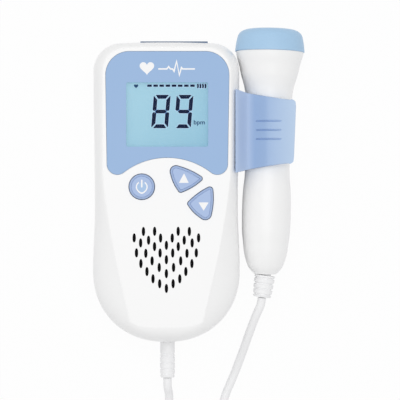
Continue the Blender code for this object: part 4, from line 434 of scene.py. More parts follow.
@dataclass(frozen=True)
class Signal:
    """A value, colour or vector that runs from one node to others."""

    recipe: "Recipe"
    socket: bpy.types.NodeSocket

    def _math(self, operation: str, first: object, second: object) -> "Signal":
        """A Math node on two values."""
        settings = {"operation": operation}
        return self.recipe.node("ShaderNodeMath", settings, {0: first, 1: second})

    def __add__(self, other: object) -> "Signal":
        """This plus another."""
        return self._math("ADD", self, other)

    def __radd__(self, other: object) -> "Signal":
        """Another plus this."""
        return self._math("ADD", other, self)

    def __sub__(self, other: object) -> "Signal":
        """This less another."""
        return self._math("SUBTRACT", self, other)

    def __rsub__(self, other: object) -> "Signal":
        """Another less this."""
        return self._math("SUBTRACT", other, self)

    def __mul__(self, other: object) -> "Signal":
        """This times another."""
        return self._math("MULTIPLY", self, other)

    def __rmul__(self, other: object) -> "Signal":
        """Another times this."""
        return self._math("MULTIPLY", other, self)

    def over(self, edge: float) -> "Signal":
        """1 where this is above a value, and 0 elsewhere."""
        return self._math("GREATER_THAN", self, edge)

    def under(self, edge: float) -> "Signal":
        """1 where this is below a value, and 0 elsewhere."""
        return self._math("LESS_THAN", self, edge)

    def wave(self) -> "Signal":
        """This value's sine."""
        return self._math("SINE", self, 0.0)


def linear(colour: Colour) -> tuple[float, float, float, float]:
    """A colour as it looks on screen, from 0 to 255, in the shader's own terms."""
    shares = [value / 255 for value in colour]
    made = [s / 12.92 if s <= 0.04045 else ((s + 0.055) / 1.055) ** 2.4 for s in shares]
    return (made[0], made[1], made[2], 1.0)


def varied(
    base: tuple[float, float, float, float], factor: float, lift: float = 0.0
) -> tuple[float, float, float, float]:
    """A colour made a little darker or paler."""
    made = [min(1.0, value * factor + lift) for value in base[:3]]
    return (made[0], made[1], made[2], 1.0)


class Recipe:
    """The nodes of one finish."""

    def __init__(self, name: str) -> None:
        """Starts a material with its plain shader."""
        self.material = bpy.data.materials.new(name)
        self.material.use_nodes = True
        self.tree = self.material.node_tree
        self.shader = self.tree.nodes["Principled BSDF"]

    def node(
        self,
        kind: str,
        settings: Mapping[str, object] | None = None,
        sockets: Mapping[int | str, object] | None = None,
        output: int | str = 0,
    ) -> Signal:
        """Adds a node.

        Args:
            kind: The node's type.
            settings: Its own settings, which are set first.
            sockets: The values or links of its sockets, by name or number.
            output: The socket that is handed on.

        Returns:
            The signal from that socket.
        """
        made = self.tree.nodes.new(kind)
        for key, value in (settings or {}).items():
            setattr(made, key, value)
        for key, value in (sockets or {}).items():
            self.feed(made.inputs[key], value)
        return Signal(self, made.outputs[output])

    def feed(self, socket: bpy.types.NodeSocket, value: object) -> None:
        """Sets or links one socket."""
        if isinstance(value, Signal):
            self.tree.links.new(value.socket, socket)
        else:
            socket.default_value = value

    def place(self) -> Signal:
        """The point's place on the object."""
        return self.node("ShaderNodeTexCoord", output="Object")

    def axis(self, name: str) -> Signal:
        """One part of the point's place, in metres."""
        return self.node("ShaderNodeSeparateXYZ", sockets={0: self.place()}, output=name)

    def noise(self, scale: float, detail: float = 2.0, roughness: float = 0.5) -> Signal:
        """Cloudy noise from 0 to 1."""
        sockets = {
            "Vector": self.place(),
            "Scale": scale,
            "Detail": detail,
            "Roughness": roughness,
        }
        return self.node("ShaderNodeTexNoise", None, sockets, "Fac")

    def blend(self, first: object, second: object, share: object) -> Signal:
        """A colour between two others."""
        sockets = {0: share, 6: first, 7: second}
        return self.node("ShaderNodeMix", {"data_type": "RGBA"}, sockets, 2)

    def span(self, value: Signal, low: float, high: float) -> Signal:
        """A value brought from a range to 0 and 1, and held there outside it."""
        sockets = {0: value, 1: low, 2: high, 3: 0.0, 4: 1.0}
        return self.node("ShaderNodeMapRange", {"clamp": True}, sockets)

    def relief(self, height: Signal, depth: float, strength: float = 1.0) -> Signal:
        """A bump from a height."""
        sockets = {"Height": height, "Distance": depth * MM, "Strength": strength}
        return self.node("ShaderNodeBump", None, sockets, "Normal")

    def finish(self, **sockets: object) -> bpy.types.Material:
        """Feeds the shader, whose sockets are named with underscores, and hands the material on."""
        for key, value in sockets.items():
            self.feed(self.shader.inputs[key.replace("_", " ")], value)
        return self.material


@dataclass(frozen=True)
class MouldedPlastic:
    """Injection-moulded plastic: a fine even texture and a colour that clouds a little."""

    name: str
    colour: Colour
    roughness: float = 0.36
    grain: float = 0.006
    clouding: float = 0.975
    grain_scale: float = 2400.0

    def make(self) -> bpy.types.Material:
        """The material."""
        recipe = Recipe(self.name)
        base = linear(self.colour)
        shaded = varied(base, self.clouding)
        pebble = recipe.noise(self.grain_scale, 1.0)
        cloud = recipe.noise(28.0, 3.0)
        return recipe.finish(
            Base_Color=recipe.blend(base, shaded, cloud),
            Roughness=self.roughness - 0.03 + cloud * 0.06,
            Normal=recipe.relief(pebble, self.grain),
            IOR=1.46,
        )


@dataclass(frozen=True)
class SoftRubber:
    """A soft, nearly matt moulding that picks up fine dust."""

    name: str
    colour: Colour
    roughness: float = 0.55

    def make(self) -> bpy.types.Material:
        """The material."""
        recipe = Recipe(self.name)
        base = linear(self.colour)
        dusty = varied(base, 1.03, 0.004)
        dust = recipe.span(recipe.noise(900.0, 4.0, 0.7), 0.45, 0.75)
        return recipe.finish(
            Base_Color=recipe.blend(base, dusty, dust),
            Roughness=self.roughness + dust * 0.08,
            Normal=recipe.relief(recipe.noise(1800.0, 2.0), 0.01),
            IOR=1.5,
        )


@dataclass(frozen=True)
class ForkPlastic:
    """The fork's blue plastic, with light and shade painted across its arm: painted light on the flange,
    painted shade on the slope up from the valley, and painted light paling towards the free end.
    """

    name: str = "blue_fork"
    # Painted light on the flange, painted shade on the slope, painted light at the free end.
    lit_flange_colour: Colour = (180, 200, 232)
    painted_shade_colour: Colour = (154, 182, 222)
    end: Colour = (192, 214, 240)
    painted_shade_range: Point = (34.8, 39.2)
    painted_light_range: Point = (43.5, 57.0)

    def make(self) -> bpy.types.Material:
        """The material."""
        recipe = Recipe(self.name)
        shift = UNIT_SHIFT.translation.x
        across = recipe.axis("X")
        spans = [
            recipe.span(across, low * MM + shift, high * MM + shift)
            for low, high in (self.painted_shade_range, self.painted_light_range)
        ]
        # Painted light and shade, laid on the blue by place across the arm.
        colour = recipe.blend(linear(self.lit_flange_colour), linear(self.painted_shade_colour), spans[0])
        colour = recipe.blend(colour, linear(self.end), spans[1])
        cloud = recipe.noise(40.0, 3.0)
        return recipe.finish(
            Base_Color=colour,
            Roughness=0.36 + cloud * 0.05,
            Normal=recipe.relief(recipe.noise(2400.0, 1.0), 0.005),
            IOR=1.46,
        )


@dataclass(frozen=True)
class ClearWindow:
    """A clear, hard-coated display window."""

    name: str = "display_window"

    def make(self) -> bpy.types.Material:
        """The material."""
        recipe = Recipe(self.name)
        haze = recipe.noise(60.0, 2.0)
        return recipe.finish(
            Base_Color=recipe.blend(linear((70, 100, 130)), linear((60, 92, 124)), haze),
            Roughness=0.04 + haze * 0.03,
            Alpha=0.012 + haze * 0.006,
            IOR=1.49,
        )


@dataclass(frozen=True)
class DisplayGlass:
    """A lit liquid-crystal glass, brighter at its upper left, with its cells' faint rows."""

    name: str = "display_glass"
    bright: Colour = (173, 217, 234)
    deep: Colour = (150, 199, 222)
    lit: float = 0.5

    def make(self) -> bpy.types.Material:
        """The material."""
        recipe = Recipe(self.name)
        across = recipe.axis("X")
        upwards = recipe.axis("Y")
        falling = recipe.span(across - 0.7 * upwards, -0.065, -0.005)
        glow = recipe.blend(linear(self.bright), linear(self.deep), falling)
        rows = recipe.span((upwards * 12000.0).wave(), -1.0, 1.0)
        faint = recipe.blend(glow, linear(self.deep), rows * 0.06)
        shaded = recipe.blend(faint, (0.0, 0.0, 0.0, 1.0), self.lit)
        return recipe.finish(
            Base_Color=shaded,
            Roughness=0.22 + rows * 0.03,
            Emission_Color=faint,
            Emission_Strength=self.lit,
            Specular_IOR_Level=0.15,
        )


@dataclass(frozen=True)
class Ink:
    """A printed or liquid-crystal mark, a little uneven in its cover; the same finish also lays the painted
    glow round the display's marks and inside the power ring.
    """

    name: str
    colour: Colour
    roughness: float = 0.45
    # A glow of its own, used only for the painted glow round the display's marks.
    lit: float = 0.0

    def make(self) -> bpy.types.Material:
        """The material."""
        recipe = Recipe(self.name)
        base = linear(self.colour)
        thin = varied(base, 1.15, 0.004)
        cover = recipe.noise(700.0, 3.0)
        colour = recipe.blend(base, thin, cover)
        return recipe.finish(
            Base_Color=colour,
            Roughness=self.roughness + cover * 0.05,
            Specular_IOR_Level=0.1,
            Emission_Color=colour,
            Emission_Strength=self.lit,
        )


@dataclass(frozen=True)
class PlatedMetal:
    """Nickel-plated metal with fine drawing lines."""

    name: str
    colour: Colour = (200, 200, 203)
    roughness: float = 0.26

    def make(self) -> bpy.types.Material:
        """The material."""
        recipe = Recipe(self.name)
        base = linear(self.colour)
        dull = varied(base, 0.86)
        stain = recipe.noise(220.0, 4.0, 0.6)
        return recipe.finish(
            Base_Color=recipe.blend(base, dull, stain),
            Metallic=1.0,
            Roughness=self.roughness + stain * 0.12,
            Normal=recipe.relief(recipe.noise(3200.0, 1.0), 0.004),
        )


@dataclass(frozen=True)
class CircuitLaminate:
    """Green solder mask over copper tracks, which show as slightly raised, lighter lines."""

    name: str = "circuit_board"

    def make(self) -> bpy.types.Material:
        """The material."""
        recipe = Recipe(self.name)
        cells = recipe.node(
            "ShaderNodeTexVoronoi",
            {"feature": "DISTANCE_TO_EDGE"},
            {"Vector": recipe.place(), "Scale": 420.0},
            "Distance",
        )
        track = cells.under(0.12)
        mask = recipe.blend(linear((28, 92, 58)), linear((58, 132, 84)), track)
        return recipe.finish(
            Base_Color=mask, Roughness=0.32 + track * 0.06, Normal=recipe.relief(track, 0.02)
        )


@dataclass(frozen=True)
class CellWrap:
    """A battery's printed sleeve: dark, with a copper-coloured band at one end."""

    name: str
    band_from: float

    def make(self) -> bpy.types.Material:
        """The material."""
        recipe = Recipe(self.name)
        band = recipe.axis("Y").over(self.band_from * MM)
        sleeve = recipe.blend(linear((46, 48, 54)), linear((186, 124, 74)), band)
        scuffs = recipe.span(recipe.noise(500.0, 4.0, 0.7), 0.55, 0.8)
        return recipe.finish(
            Base_Color=recipe.blend(sleeve, linear((150, 150, 152)), scuffs * 0.2),
            Roughness=0.3 + scuffs * 0.2,
            Metallic=0.35 + band * 0.3,
        )


# Sub-assemblies


@dataclass
class Studio:
    """The camera over the unit, the pale floor and the soft lights."""

    view_width: float = 0.18
    sensor: float = 36.0
    height: float = 0.816
    plane: float = 0.016
    principal: float = 166.4
    picture: float = 400.0
    aim_y: float = -0.00349
    surround: float = 0.67
    lamps: dict[str, tuple[Place, float, float]] = field(
        default_factory=lambda: {
            "overhead_light": ((0.06, 0.12, 1.1), 0.8, 3.15),
            "window_light": ((-0.7, 0.6, 0.7), 0.5, 0.7),
        }
    )

    def camera(self) -> None:
        """Sets the camera straight above, with the picture shifted to the photograph's frame."""
        clear_selection()
        middle = UNIT_SHIFT.translation
        place = (middle.x, middle.y + self.aim_y, self.height)
        bpy.ops.object.camera_add(location=place, rotation=(0, 0, 0))
        made = bpy.context.active_object
        made.name = "camera_above"
        made.data.sensor_width = self.sensor
        made.data.lens = self.sensor * (self.height - self.plane) / self.view_width
        made.data.shift_x = (self.picture / 2 - self.principal) / self.picture
        made.data.clip_start = 0.05
        made.data.clip_end = 50.0
        bpy.context.scene.camera = made

    def floor(self) -> None:
        """Lays the pale floor, which keeps a soft shadow and looks white."""
        clear_selection()
        bpy.ops.mesh.primitive_plane_add(size=8.0, location=(0, 0, 0))
        made = bpy.context.active_object
        made.name = "floor"
        recipe = Recipe("pale_floor")
        mottle = recipe.noise(3.0, 2.0)
        recipe.finish(
            Base_Color=recipe.blend(linear((240, 240, 241)), linear((236, 236, 238)), mottle),
            Roughness=0.9,
        )
        rays = recipe.tree.nodes.new("ShaderNodeLightPath")
        seen = Signal(recipe, rays.outputs["Is Camera Ray"])
        seen = seen + Signal(recipe, rays.outputs["Is Glossy Ray"])
        seen = seen + Signal(recipe, rays.outputs["Is Transmission Ray"])
        white = recipe.node("ShaderNodeEmission", None, {"Strength": 1.0})
        shader = Signal(recipe, recipe.shader.outputs[0])
        mixed = recipe.node(
            "ShaderNodeMixShader", None, {0: seen.over(0.5) * 0.95, 1: shader, 2: white}
        )
        below = recipe.node("ShaderNodeNewGeometry", output="Backfacing")
        clear = recipe.node("ShaderNodeBsdfTransparent")
        mixed = recipe.node("ShaderNodeMixShader", None, {0: below, 1: mixed, 2: clear})
        output = recipe.tree.nodes["Material Output"]
        recipe.tree.links.new(mixed.socket, output.inputs["Surface"])
        made.data.materials.append(recipe.material)

    def lights(self) -> None:
        """Hangs the soft lights and sets an even white surround."""
        world = bpy.data.worlds.new("even_surround")
        bpy.context.scene.world = world
        world.use_nodes = True
        tree = world.node_tree
        surround = tree.nodes["Background"]
        white = tree.nodes.new("ShaderNodeBackground")
        for node, strength in ((surround, self.surround), (white, 1.0)):
            node.inputs["Color"].default_value = (1.0, 1.0, 1.0, 1.0)
            node.inputs["Strength"].default_value = strength
        rays = tree.nodes.new("ShaderNodeLightPath")
        seen = rays.outputs["Is Camera Ray"]
        for kind in ("Is Glossy Ray", "Is Transmission Ray"):
            both = tree.nodes.new("ShaderNodeMath")
            both.operation = "MAXIMUM"
            tree.links.new(seen, both.inputs[0])
            tree.links.new(rays.outputs[kind], both.inputs[1])
            seen = both.outputs[0]
        mixed = tree.nodes.new("ShaderNodeMixShader")
        tree.links.new(seen, mixed.inputs[0])
        tree.links.new(surround.outputs[0], mixed.inputs[1])
        tree.links.new(white.outputs[0], mixed.inputs[2])
        tree.links.new(mixed.outputs[0], tree.nodes["World Output"].inputs["Surface"])
        for name, (spot, size, power) in self.lamps.items():
            clear_selection()
            bpy.ops.object.light_add(type="AREA", location=spot)
            lamp = bpy.context.active_object
            lamp.name = name
            lamp.data.size = size
            lamp.data.energy = power
            lamp.rotation_euler = (-Vector(spot)).to_track_quat("-Z", "Y").to_euler()


@dataclass
class Lead:
    """The cord from the probe to its coil, the coil, and the cord from the coil to the plug."""

    radius: float = 1.9
    spacing: float = 7.6
    coil_centre: Point = (8.2, -135.0)
    coil_least_radius: float = 15.0
    coil_pitch: float = 4.35
    coil_height: float = 3.05
    coil_entry: float = math.radians(36)
    coil_exit: float = math.radians(130)
    coil_whole_turns: int = 6
    coil_climb_turns: float = 0.5
    points_per_turn: int = 24
    probe_end_y: float = -48.0
    coil_still_y: float = -100.0
    plug_end_y: float = -85.0
    tie_room: float = 0.4
    tie_half_width: float = 1.9
    tie_thickness: float = 0.7
    tie_corner: float = 1.6
    probe_route: list[Place] = field(
        default_factory=lambda: [
            (0.04295, -0.04745, 0.016),
            (0.04235, -0.051, 0.0157),
            (0.0403, -0.0558, 0.0143),
            (0.0377, -0.0633, 0.0108),
            (0.0353, -0.0709, 0.0068),
            (0.0334, -0.0766, 0.0042),
            (0.0314, -0.0822, 0.0026),
            (0.0291, -0.0877, 0.0021),
            (0.0269, -0.0932, 0.002),
            (0.0249, -0.101, 0.0021),
            (0.0247, -0.1068, 0.0024),
        ]
    )
    plug_route: list[Place] = field(
        default_factory=lambda: [
            (-0.0002, -0.1028, 0.0059),
            (0.0012, -0.0966, 0.0052),
            (0.00115, -0.0918, 0.0069),
            (0.00055, -0.088, 0.0097),
            (0.0005, -0.0841, 0.01),
        ]
    )

    def coil(self) -> list[Vector]:
        """The coil's middle line: inwards on the surface, up a layer, and out again on top."""
        turns = self.coil_whole_turns - (self.coil_exit - self.coil_entry) / math.tau
        count = round(turns * self.points_per_turn)
        points = []
        for step in range(count + 1):
            turn = turns * step / count
            radius = self.coil_least_radius + self.coil_pitch * abs(turn - turns / 2)
            angle = self.coil_entry - math.tau * turn
            climbed = ease((turn - turns / 2) / self.coil_climb_turns + 0.5)
            x = self.coil_centre[0] + radius * math.cos(angle)
            y = self.coil_centre[1] + radius * math.sin(angle)
            points.append(Vector((x, y, self.coil_height + self.coil_pitch * climbed)))
        before = points[0] + (points[0] - points[1]).normalized() * 2 * self.radius
        after = points[-1] + (points[-1] - points[-2]).normalized() * 2 * self.radius
        return [before, *points, after]

    def smooth_route(self, points: Sequence[Vector], spacing: float) -> list[Vector]:
        """Points about evenly spaced along a smooth curve through the given ones."""
        return curve_through(points, lambda gap: max(1, round(gap / spacing)))

    def tube(self, name: str, points: Sequence[Vector]) -> bpy.types.Object:
        """A round cord along points, made a mesh.

        Args:
            name: The piece's name.
            points: The cord's middle line.

        Returns:
            The piece, its ends closed.
        """
        line = bpy.data.curves.new(name, "CURVE")
        line.dimensions = "3D"
        line.bevel_depth = self.radius * MM
        line.bevel_resolution = 6
        line.use_fill_caps = True
        spline = line.splines.new("POLY")
        spline.points.add(len(points) - 1)
        for knot, place in zip(spline.points, points):
            knot.co = (*(place * MM), 1)
        made = bpy.data.objects.new(name, line)
        bpy.context.scene.collection.objects.link(made)
        pick(made)
        bpy.ops.object.convert(target="MESH")
        piece = bpy.context.active_object
        settle(piece, UNIT_SHIFT)
        pick(piece)
        bpy.ops.object.mode_set(mode="EDIT")
        merge_points()
        bpy.ops.object.shade_smooth_by_angle(angle=math.radians(40))
        return piece

    def length(self, points: Sequence[Vector]) -> float:
        """A line's length, in metres."""
        return sum((b - a).length for a, b in zip(points, points[1:])) * MM

    def build(self, jacket: bpy.types.Material, plug_pieces: Sequence[bpy.types.Object]) -> None:
        """Args:
            jacket: The cord's material.
            plug_pieces: The boot and the pin at the plug's end; not used.
        """
        coil = self.coil()
        entry = (coil[0] - coil[1]).normalized()
        leaving = (coil[-1] - coil[-2]).normalized()
        fall = [Vector(place) / MM for place in self.probe_route]
        fall += [coil[0] + entry * (FIT + 2 * self.radius), coil[0] + entry * FIT]
        fine = self.spacing / 5
        first = self.smooth_route(self.smooth_route(fall, self.spacing) + coil, fine)
        probe_cord = self.tube("lead_to_probe", first)
        rise = [coil[-1] + leaving * FIT, coil[-1] + leaving * (FIT + 2 * self.radius)]
        rise += [Vector(place) / MM for place in self.plug_route]
        last = self.smooth_route(self.smooth_route(rise, self.spacing), fine)
        plug_cord = self.tube("lead_to_plug", last)
        for piece, nodes in ((probe_cord, ("probe_cord", "cord_coil")), (plug_cord, ("plug_cord",))):
            piece.data.materials.clear()
            piece.data.materials.append(jacket)
            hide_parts(*nodes)
        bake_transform(probe_cord)
        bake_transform(plug_cord)
        path = [list(UNIT_SHIFT @ (place * MM)) for place in first]
        self.length(first)
        path = [list(UNIT_SHIFT @ (place * MM)) for place in last]
        self.length(last)
        LOG.info("lead: %.0f mm", (self.length(first) + self.length(last)) / MM)

    def tie(self, coat: bpy.types.Material) -> None:
        """Straps the coil's far side with a flat band."""
        turns = self.coil_whole_turns - (self.coil_exit - self.coil_entry) / math.tau
        inner = self.coil_least_radius - self.radius - self.tie_room
        outer = self.coil_least_radius + self.coil_pitch * turns / 2 + self.radius
        low = self.coil_height - self.radius - FIT
        high = self.coil_height + self.coil_pitch + self.radius + FIT
        middle_y = -(outer + inner) / 2
        half_y = (outer - inner) / 2
        rings = []
        wide = self.tie_half_width
        thick = self.tie_thickness
        for reach, half in ((0.0, wide), (0.0, -wide), (thick, -wide), (thick, wide)):
            loop = rounded_rectangle(
                middle_y,
                (low + high) / 2,
                half_y + reach,
                (high - low) / 2 + reach,
                self.tie_corner + reach,
            )
            centre_x, centre_y = self.coil_centre
            rings.append([(centre_x + half, centre_y + along, up) for along, up in loop])
        strap = soften(drawn("coil_strap", rings, closed=True), 0.12)
        mount(polish(settle(strap, UNIT_SHIFT)), coat, "unit", "cord_white", "cord_tie")


@dataclass
class Casing:
    """The unit's two shells, its grille's gauze with painted shade in the slots, and the cover of its top
    sockets.
    """

    half_length: float = 67.0
    half_width: float = 32.6
    corner: float = 12.5
    top_crown: float = 0.4
    waist_y: float = -7.0
    waist_inset: float = 0.65
    bulge_y: float = -35.0
    bulge_outset: float = 0.25
    end_power: float = 2.15
    flank_base: float = 20.0
    flank_angle: float = 60.0
    flank_end_angle: float = 86.0
    flank_steps: int = 12
    panel_top: float = 64.5
    panel_half_width: float = 28.7
    panel_crown: float = 0.3
    panel_corner: float = 11.0
    panel_taper_y: float = 10.0
    panel_break_y: float = -38.0
    panel_end_y: float = -56.0
    panel_end_half_width: float = 16.9
    panel_end_power: float = 2.6
    panel_bottom: float = -60.0
    panel_taper_power: float = 1.42
    panel_edge_drop: float = 0.3
    grille_half_width: float = 14.2
    grille_top: float = -17.3
    grille_height: float = 25.2
    slot_half: Point = (0.76, 2.04)
    middle_slots: tuple[float, ...] = (0.245, 0.497, 0.741, 1.0)
    paired_slots: tuple[Point, ...] = (
        (0.366, 0.0), (0.713, 0.003), (1.0, 0.115), (0.181, 0.118),
        (0.8, 0.203), (0.554, 0.156), (0.369, 0.267), (0.929, 0.377),
        (0.639, 0.386), (0.196, 0.38), (0.444, 0.517), (0.792, 0.565),
        (0.223, 0.633), (0.604, 0.704), (0.416, 0.831), (0.209, 0.917),
    )
    speaker: Point = (0.0, -29.6)
    screw_places: tuple[Point, ...] = ((25.0, 54.5), (-25.0, 54.5), (18.5, -44.5), (-18.5, -44.5))
    back_inset: float = 4.5
    back_height: float = 5.5
    back_steps: int = 8
    cover_x: float = 3.4
    cover_half_width: float = 15.0
    cover_inner_y: float = 66.4
    cover_low: float = 15.2
    cover_high: float = 23.8
    board_back: float = 23.0
    seam: float = 0.11
    key_room: float = 0.16
    socket_board_y: float = -56.8
    socket_board_low: float = 5.0
    socket_post_x: float = 7.5
    socket_post_radius: float = 1.6
    rim_room: float = 0.15
    rim_chamfer: float = 0.25
    rim_chamfer_height: float = 0.55
    full_points: int = 11
    full_blend: int = 6
    post_radius: float = 3.0
    boss_radius: float = 3.6
    screw_radius: float = 1.25
    screw_top: float = 24.0
    head_radius: float = 2.6
    head_height: float = 9.0
    head_chamfer: float = 0.5
    headphone_x: float = -3.0
    headphone_radius: float = 2.6
    headphone_height: float = 5.6
    charging_x: float = 10.0
    charging_half_width: float = 3.8
    charging_height: float = 2.8
    plug_hole_radius: float = 2.9
    gauze_radius: float = 17.2
    gauze_thickness: float = 0.16
    gauze_gap: float = 0.22
    gauze_pinhole: float = 0.5
    label_y: float = -38.5
    label_half: Point = (12.0, 8.0)
    label_corner: float = 1.2
    label_depth: float = 0.12

    def side(self, y: float, inset: float) -> float:
        """The casing's half width at a height of its side."""
        if y > self.waist_y:
            shoulder = self.half_length - self.top_crown - self.corner
            share = ease((shoulder - y) / (shoulder - self.waist_y))
            return self.half_width - inset - self.waist_inset * share
        swell = ease((self.waist_y - y) / (self.waist_y - self.bulge_y))
        return self.half_width - inset - self.waist_inset + (
            self.waist_inset + self.bulge_outset
        ) * swell

    def top_end(
        self, half: float, top: float, crown: float, corner: float, inset: float
    ) -> list[Point]:
        """The crowned top and round corner of an outline's right half."""
        corner_x = half - corner
        points = [(0.0, top - inset)]
        for x in steps_between(0, corner_x, 6):
            points.append((x, top - inset - crown * (x / corner_x) ** 2))
        return points + arc(corner_x, top - crown - corner, corner - inset, 90, 0, 12)[1:]

    def rounded_end(
        self, half: float, low_y: float, depth: float, power: float, steps: int
    ) -> list[Point]:
        """The last quarter of an outline, from its side to its lowest point.

        Args:
            half: The outline's half width where the quarter starts.
            low_y: Where it starts.
            depth: How far down it runs.
            power: How square it is: 2 for an ellipse, more for fuller corners.
            steps: How many edges it has.

        Returns:
            Its points, without the first.
        """
        points = []
        for angle in steps_between(0, math.pi / 2, steps):
            across = max(0.0, math.cos(angle)) ** (2 / power)
            points.append((half * across, low_y - depth * math.sin(angle) ** (2 / power)))
        points[-1] = (0.0, low_y - depth)
        return points

    def casing_half(self, inset: float) -> list[Point]:
        """The right half of the casing's outline, from the top end's middle to the bottom's."""
        corner_y = self.half_length - self.top_crown - self.corner
        top = (self.half_width, self.half_length, self.top_crown, self.corner)
        points = self.top_end(*top, inset)
        for y in steps_between(corner_y, self.bulge_y, 18):
            points.append((self.side(y, inset), y))
        half = self.half_width + self.bulge_outset - inset
        depth = self.half_length + self.bulge_y - inset
        return points + self.rounded_end(half, self.bulge_y, depth, self.end_power, 22)

    def panel_half(self, inset: float) -> list[Point]:
        """The right half of the raised panel's outline, with as many points as the casing's."""
        corner_y = self.panel_top - self.panel_crown - self.panel_corner
        top = (self.panel_half_width, self.panel_top, self.panel_crown, self.panel_corner)
        points = self.top_end(*top, inset)
        sides = steps_between(corner_y, self.panel_break_y, 18)
        sides += steps_between(self.panel_break_y, self.panel_end_y, 12)
        for y in sides:
            share = max(0.0, (self.panel_taper_y - y) / (self.panel_taper_y - self.panel_end_y))
            narrowing = self.panel_half_width - self.panel_end_half_width
            half = self.panel_half_width - inset - narrowing * share**self.panel_taper_power
            points.append((half, y))
        depth = self.panel_end_y - self.panel_bottom - inset
        half = self.panel_end_half_width - inset
        return points + self.rounded_end(
            half, self.panel_end_y, depth, self.panel_end_power, 10
        )

    def fullness(self, count: int) -> list[float]:
        """How far each point of a half outline has gone from a crisp panel edge to a full one."""
        return [ease((index - count + self.full_points) / self.full_blend) for index in range(count)]

    def panel_ring(self, inset: float, drop: float) -> list[Place]:
        """A ring of the panel, a little below its face where the panel's edge is crisp."""
        half = self.panel_half(inset)
        return self.ring(half, [FACE - drop * (1 - full) for full in self.fullness(len(half))])

    def ring(self, half: Sequence[Point], heights: Sequence[float]) -> list[Place]:
        """A whole ring of points from the right half of an outline."""
        right = [(x, y, height) for (x, y), height in zip(half, heights)]
        left = [(-x, y, height) for x, y, height in reversed(right[1:-1])]
        return right + left

    def flat_ring(self, half: Sequence[Point], height: float) -> list[Place]:
        """A whole ring of points at one height."""
        return self.ring(half, [height] * len(half))

    def rim_rings(self, side: int) -> list[list[Place]]:
        """Rings round a shell's rim, above the parting line for 1 and below it for -1."""
        rim = PARTING + side * self.rim_room
        return [
            self.flat_ring(self.casing_half(0), PARTING + side * self.rim_chamfer_height),
            self.flat_ring(self.casing_half(self.rim_chamfer), rim),
            self.flat_ring(self.casing_half(WALL), rim),
        ]

    def flank(
        self, outer: Sequence[Point], inner: Sequence[Point], top: float, drop: float
    ) -> list[list[Place]]:
        """Rings up the front shell's flank, from the casing's outline to the panel's.

        Args:
            outer: The casing's half outline.
            inner: The panel's half outline.
            top: The height of the panel.
            drop: How far the panel's edge lies below it, where the edge is crisp.

        Returns:
            The rings, from the straight side upwards.
        """
        rings = []
        full_shares = self.fullness(len(outer))
        for step in range(self.flank_steps + 1):
            half = []
            heights = []
            for (x, y), (panel_x, panel_y), full in zip(outer, inner, full_shares):
                end = math.radians(lerp(self.flank_angle, self.flank_end_angle, full))
                angle = end * step / self.flank_steps
                share = (1 - math.cos(angle)) / (1 - math.cos(end))
                half.append((lerp(x, panel_x, share), lerp(y, panel_y, share)))
                edge = top - drop * (1 - full)
                heights.append(lerp(self.flank_base, edge, math.sin(angle) / math.sin(end)))
            rings.append(self.ring(half, heights))
        return rings

    def ovals(self, room: float, low: float, high: float) -> list[bpy.types.Object]:
        """The grille's ovals, set out in a heart.

        Args:
            room: How far each lies inside the slot's outline.
            low: Where they start.
            high: Where they end.

        Returns:
            The pieces, one for each slot.
        """
        places = [(0.0, share) for share in self.middle_slots]
        for across, down in self.paired_slots:
            places += [(across, down), (-across, down)]
        half_x, half_y = self.slot_half[0] - room, self.slot_half[1] - room
        oval = [
            (half_x * math.copysign(abs(math.cos(a)) ** 0.85, math.cos(a)), half_y * math.sin(a))
            for a in [math.tau * step / 20 for step in range(20)]
        ]
        first = plate("slot", oval, low, high)
        made = []
        for across, down in places:
            copy = bpy.data.objects.new("slot", first.data.copy())
            bpy.context.scene.collection.objects.link(copy)
            x = across * self.grille_half_width
            y = self.grille_top - down * self.grille_height
            made.append(settle(copy, Matrix.Translation(Vector((x, y, 0)) * MM)))
        bpy.data.objects.remove(first)
        return made

    def gauze(self, coat: bpy.types.Material) -> None:
        """Makes the black gauze behind the grille, with black plugs raised through the slots to just under
        the face as painted shade in the slots.
        """
        low = INNER_FACE - self.gauze_gap
        high = low + self.gauze_thickness
        x, y = self.speaker
        near, far = self.gauze_pinhole, self.gauze_radius
        disc = turned("grille_gauze_and_painted_shade", [(near, low), (far, low), (far, high), (near, high)])
        settle(disc, Matrix.Translation(Vector((x, y, 0.0)) * MM))
        # Black plugs in the slots, up to 0.55 under the face: painted shade where the slots' walls would
        # show.
        work(disc, Joint.ADD, self.ovals(0.03, low + 0.08, FACE - 0.55))
        mount(settle(disc, UNIT_SHIFT), coat, "unit", "cone_paper")

